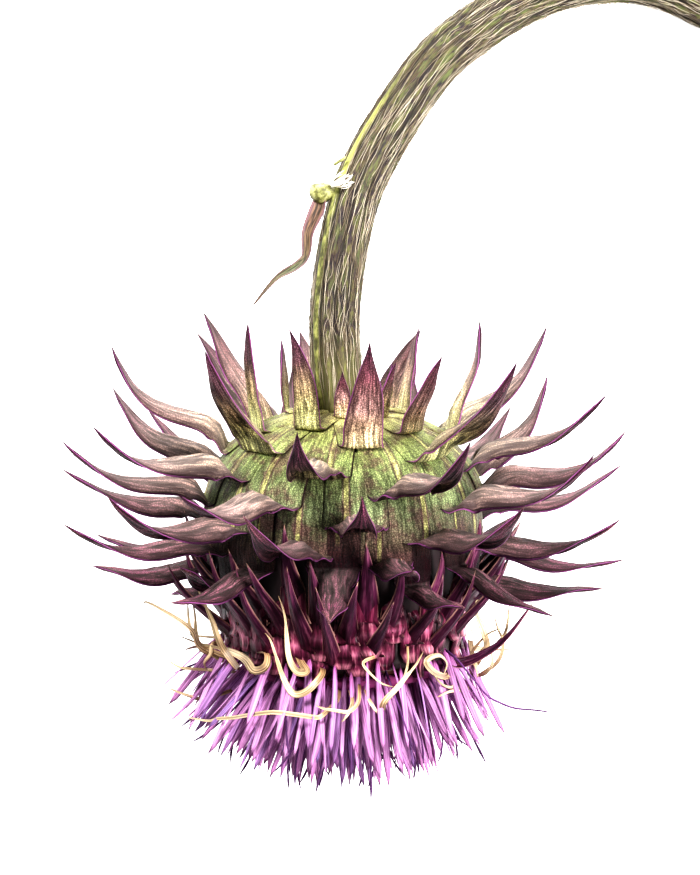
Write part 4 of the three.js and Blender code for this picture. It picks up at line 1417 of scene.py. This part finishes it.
skin, is_hair, stem_along, stem_turn, rib_height, hair_seed = new_skin("downy thistle stem", MARKS)
turn_angle = add(skin, "Math", [stem_turn, 2 * math.pi], operation="MULTIPLY")
ring_x = add(skin, "Math", [turn_angle], operation="COSINE")
ring_y = add(skin, "Math", [turn_angle], operation="SINE")
long_way = add(skin, "Math", [stem_along, 9.0], operation="MULTIPLY")
place = add(skin, "CombineXYZ", [ring_x, ring_y, long_way])
streaks = {"Vector": place, "Scale": STEM_RADIUS / STREAK_WIDTH, "Detail": 5.0, "Roughness": 0.7}
streaks = add(skin, "TexNoise", streaks, out="Fac")
skin_stops = [(0.4, "#0e080a"), (0.47, "#2c1c20"), (0.53, "#403428"), (0.62, "#58562c")]
skin_colour = add(skin, "ValToRGB", [streaks], skin_stops)
hair_stops = [(0.0, "#5e4e3c"), (0.4, "#92826c"), (1.0, "#e0d4c0")]
hair_colour = add(skin, "ValToRGB", [hair_seed], hair_stops)

# Green streaks that grow stronger towards the cut, dark furrows, and a pale green neck.
green = {"Vector": place, "Scale": STEM_RADIUS / GREEN_WIDTH, "Detail": 4.0, "Roughness": 0.7}
green = add(skin, "TexNoise", green, out="Fac")
green = add(skin, "MapRange", [green, 0.48, 0.6])
towards_cut = add(skin, "MapRange", [stem_along, 0.1, 0.5, 0.35, 0.85])
green = add(skin, "Math", [green, towards_cut], operation="MULTIPLY")
furrow = add(skin, "MapRange", [rib_height, 0.02, -0.12, 0.0, 0.8])
near_neck = add(skin, "MapRange", [stem_along, 0.1, 0.03, 0.0, 0.3])

# The greenest rib, brightest in the sun past the bud, fades out on the arch.
from_rib = add(skin, "Math", [stem_turn, LEFT_RIB], operation="SUBTRACT")
from_rib = add(skin, "Math", [from_rib], operation="ABSOLUTE")
rib = add(skin, "MapRange", [from_rib, 0.03, 0.014, 0.0, 0.9])
past_arch = add(skin, "MapRange", [stem_along, 0.33, 0.46, 1.0, 0.1])
rib = add(skin, "Math", [rib, past_arch], operation="MULTIPLY")
sunny = add(skin, "MapRange", [stem_along, 0.27, 0.31, 0.0, 0.5])
sunny = add(skin, "Math", [sunny, past_arch], operation="MULTIPLY")
rib_stops = [(0.4, "#403e20"), (0.5, "#686a38"), (0.6, "#98985a")]
rib_colour = add(skin, "ValToRGB", [streaks], rib_stops)
rib_colour = add(skin, "Mix", {0: sunny, 6: rib_colour, 7: "#c8c86a"}, out=2, data_type="RGBA")
stem_layers = [
    (green, "#5e6634"),
    (furrow, "#1c120e"),
    (near_neck, "#8c8c4c"),
    (rib, rib_colour),
    (is_hair, hair_colour),
]
finish_skin(skin, skin_colour, stem_layers, {"Roughness": 0.7}, streaks, strength=0.8, depth=0.3)
finish_piece(stem_mesh, "downy_stem", skin, "stem", "stem")

# %% [markdown]
# ## The small leaf and its bud
# Half way up the stem a bud sits in the crook of a little withered leaf, which twists down and
# ends in a point. The bud starts as a ball of faces and is stretched; the leaf is one more
# rolled blade along a smooth line.

# %% Leaf and bud
BUD = Vector((-2.75, 40.0, -2.2))  # in the head's frame, on the left of the stem
BUD_AGE, FIBRE_AGE = 1.0, 2.0  # age marks that tell the material what is not the leaf
LEAF_ROWS = 26
LEAF_POINTS = [
    (0, -0.3, 0.1),
    (-0.2, -1.9, 0.3),
    (-1.5, -4.9, 0.6),
    (-1.8, -7.6, 0.9),
    (-3.0, -8.9, 1.1),
    (-5.5, -10.4, 1.4),
    (-8.5, -14.0, 1.6),
]
LEAF_WIDTH = [(0, 0.6), (0.2, 1.0), (0.4, 0.75), (0.52, 0.45), (0.75, 0.55), (1, 0)]
leaf_mesh = marked_mesh()
leaf_line = smooth_line([BUD + Vector(p) for p in LEAF_POINTS], LEAF_ROWS)


def leaf_station(row, t):
    across, lift = framed(forward_at(leaf_line, row), Vector((-0.5, 0.2, 1)), 0.5 * t)
    return leaf_line[row], across, lift, along(LEAF_WIDTH, t) + 0.05 * math.sin(14 * t), 0.16


strand(leaf_mesh, 14, LEAF_ROWS, leaf_station, 0.0, 0.3, gutter=0.55, power=2)

# The bud, the shoulder that joins it to the stem, and the ridge that runs down from them.
KNOBS = [((0, 0, 0), (1.5, 1.45, 1.35)), ((1.35, -0.2, 0), (1.3, 1.1, 1.0))]
KNOBS += [((1.7, -1.9, 0.2), (0.7, 2.6, 0.8))]
for centre, (wide, tall, deep) in KNOBS:
    knob = bmesh.ops.create_uvsphere(leaf_mesh, u_segments=24, v_segments=16, radius=MM)["verts"]
    for vertex in knob:
        x, y, z = vertex.co / MM
        dent = 1 + 0.04 * math.sin(3 * x + 2 * y) * math.cos(3 * y - 2 * z)
        flat_top = 1 - 0.25 * eased(0.3, 1, y)
        point = Vector((wide * x, tall * y * flat_top, deep * z)) * dent
        vertex.co = in_place(BUD + Vector(centre) + point)
        vertex[leaf_mesh.verts.layers.float["age"]] = BUD_AGE

# %% [markdown]
# Beside the bud the bark has torn: a tuft of white fibres and one yellow flake. Both are strands
# that bow a little on their way.

# %% Torn fibres
FIBRES = 26
FIBRE_ROWS = 6
FIBRE_RADIUS = 0.05
FLAKE_RADIUS = 0.2


def torn_fibre(bm, start, reach, bow, radius, age):
    """A fibre, or a flake, where the bark has torn."""
    forward = reach.normalized()
    across, lift = framed(forward, Vector((0.1, 0.2, 1)), 0)

    def station(row, t):
        return start + reach * t + bow * math.sin(math.pi * t), across, lift, radius, radius

    strand(bm, 6, FIBRE_ROWS, station, age, 0.5)


for n in range(FIBRES):
    start = BUD + Vector((0.5 + 1.4 * draw(n, 71), 1.0 + 0.4 * sway(n, 72), 1.0 + 0.3 * sway(n, 73)))
    reach = Vector((1.6 + 0.9 * draw(n, 74), 0.9 + 0.8 * sway(n, 75), 1.0 + 0.3 * sway(n, 76)))
    bow = Vector((0, 0.4 * sway(n, 77), 0.7))
    torn_fibre(leaf_mesh, start, reach, bow, FIBRE_RADIUS, FIBRE_AGE)
flake_root, flake_reach = BUD + Vector((3.1, 4.3, 0.4)), Vector((-1.7, -1.1, 0.2))
torn_fibre(leaf_mesh, flake_root, flake_reach, Vector((0, 0, 0.2)), FLAKE_RADIUS, BUD_AGE)
print("leaf, bud and fibres:", len(leaf_mesh.faces), "faces")

# %% [markdown]
# The leaf has withered to brown, with dark folds along it and a paler rim. The bud stayed green
# and is mottled with yellow. Neither shines much: both have dried to a wrinkled, matt skin.

# %% Leaf material
MOTTLE_SIZE = 0.8  # mm across the mottles of the bud
FOLDS_ACROSS = 2.4  # over half the leaf

skin, leaf_age, leaf_along, leaf_across = new_skin("withered stem leaf", ("age", "along", "across"))
leaf_stops = [(0.0, "#6c5844"), (0.25, "#5e4636"), (0.5, "#5c4e38"), (0.7, "#4e5236"), (1.0, "#5c463a")]
leaf_colour = add(skin, "ValToRGB", [leaf_along], leaf_stops)
place_now = add(skin, "TexCoord", out="Object")
mottles = {"Vector": place_now, "Scale": 1 / (MOTTLE_SIZE * MM), "Detail": 4.0, "Roughness": 0.65}
mottles = add(skin, "TexNoise", mottles, out="Fac")
bud_stops = [(0.38, "#4c4828"), (0.5, "#767642"), (0.6, "#a4a270")]
bud_colour = add(skin, "ValToRGB", [mottles], bud_stops)
folds_across = add(skin, "Math", [leaf_across, FOLDS_ACROSS], operation="MULTIPLY")
long_way = add(skin, "Math", [leaf_along, 5.0], operation="MULTIPLY")
where = add(skin, "CombineXYZ", [folds_across, long_way])
folds = add(skin, "TexNoise", {"Vector": where, "Scale": 1.6, "Detail": 4.0}, out="Fac")
fold_shade = add(skin, "MapRange", [folds, 0.42, 0.58, 0.28, 1.6])
is_bud = add(skin, "MapRange", [leaf_age, 0.4, 0.6])
is_fibre = add(skin, "MapRange", [leaf_age, 1.4, 1.6])
leaf_edge = add(skin, "Math", [leaf_across], operation="ABSOLUTE")
leaf_rim = add(skin, "MapRange", [leaf_edge, 0.45, 0.8, 0.0, 0.7])
leaf_layers = [
    (1.0, fold_shade, "MULTIPLY"),
    (leaf_rim, "#74545c"),
    (is_bud, bud_colour),
    (is_fibre, "#ece6d8"),
]
finish_skin(skin, leaf_colour, leaf_layers, {"Roughness": 0.55}, folds, strength=0.6, depth=0.2)
finish_piece(leaf_mesh, "leaf_and_bud", skin, "leaf", "stem_leaf")

# %% [markdown]
# ## Table, light and camera
# A matt white table, an even white surround and two large soft lamps, as on a light table. The
# camera looks down on the head, ten degrees from straight above, with a long lens.

# %% Camera
TILT = math.radians(10)
DISTANCE = 450.0
FRAME_HEIGHT = 106.75  # mm that the picture's height shows at the head
SENSOR = 36.0
towards_camera = Vector((0, math.sin(TILT), math.cos(TILT)))
picture_up = Vector((0, math.cos(TILT), -math.sin(TILT)))
picture_right = Vector((1, 0, 0))
AIM_RIGHT, AIM_UP = 0.73, 10.07  # mm from the head's centre to the middle of the picture
aim = HEAD + picture_right * AIM_RIGHT + picture_up * AIM_UP

camera_data = bpy.data.cameras.new("camera")
camera_data.lens = SENSOR * DISTANCE / FRAME_HEIGHT
camera_data.sensor_width = SENSOR
camera_data.clip_end = 20
camera = bpy.data.objects.new("camera", camera_data)
turned = Matrix((picture_right, picture_up, towards_camera)).transposed().to_4x4()
camera.matrix_world = Matrix.Translation((aim + towards_camera * DISTANCE) * MM) @ turned
bpy.context.scene.collection.objects.link(camera)
bpy.context.scene.camera = camera
print("the camera is", DISTANCE, "mm from the head")

# %% Table and light
TABLE = 3.0  # m across
LIGHT = 0.32  # of the white surround

table_mesh = bmesh.new()
bmesh.ops.create_grid(table_mesh, x_segments=1, y_segments=1, size=TABLE / 2)
table_data = bpy.data.meshes.new("table")
table_mesh.to_mesh(table_data)
table_mesh.free()
table = bpy.data.objects.new("table", table_data)
bpy.context.scene.collection.objects.link(table)

# Coated board: matt, and lit from below by a little glow, so that no lamp leaves it grey.
(skin,) = new_skin("matt white board")
board = {"Roughness": 0.9, "Emission Color": "#ffffff", "Emission Strength": 0.7}
table_data.materials.append(finish_skin(skin, "#f6f6f6", [], board))

world = bpy.data.worlds.new("white surround")
world.use_nodes = True
surround = world.node_tree.nodes["Background"].inputs
surround["Color"].default_value = (1, 1, 1, 1)
surround["Strength"].default_value = LIGHT
bpy.context.scene.world = world


def lamp(name, place, size, power):
    """A round soft lamp that points at the head. place and size are in metres, power in watts."""
    data = bpy.data.lights.new(name, "AREA")
    data.shape = "DISK"
    data.size = size
    data.energy = power
    lamp_object = bpy.data.objects.new(name, data)
    lamp_object.location = place
    lamp_object.rotation_euler = (Vector(place) - HEAD * MM).to_track_quat("Z", "Y").to_euler()
    bpy.context.scene.collection.objects.link(lamp_object)


lamp("key lamp", (-0.25, 0.55, 0.5), 0.25, 11)
lamp("fill lamp", (0.5, 0.1, 0.5), 0.3, 9)
bpy.context.scene.view_settings.view_transform = "Standard"
bpy.context.scene.view_settings.look = "High Contrast"
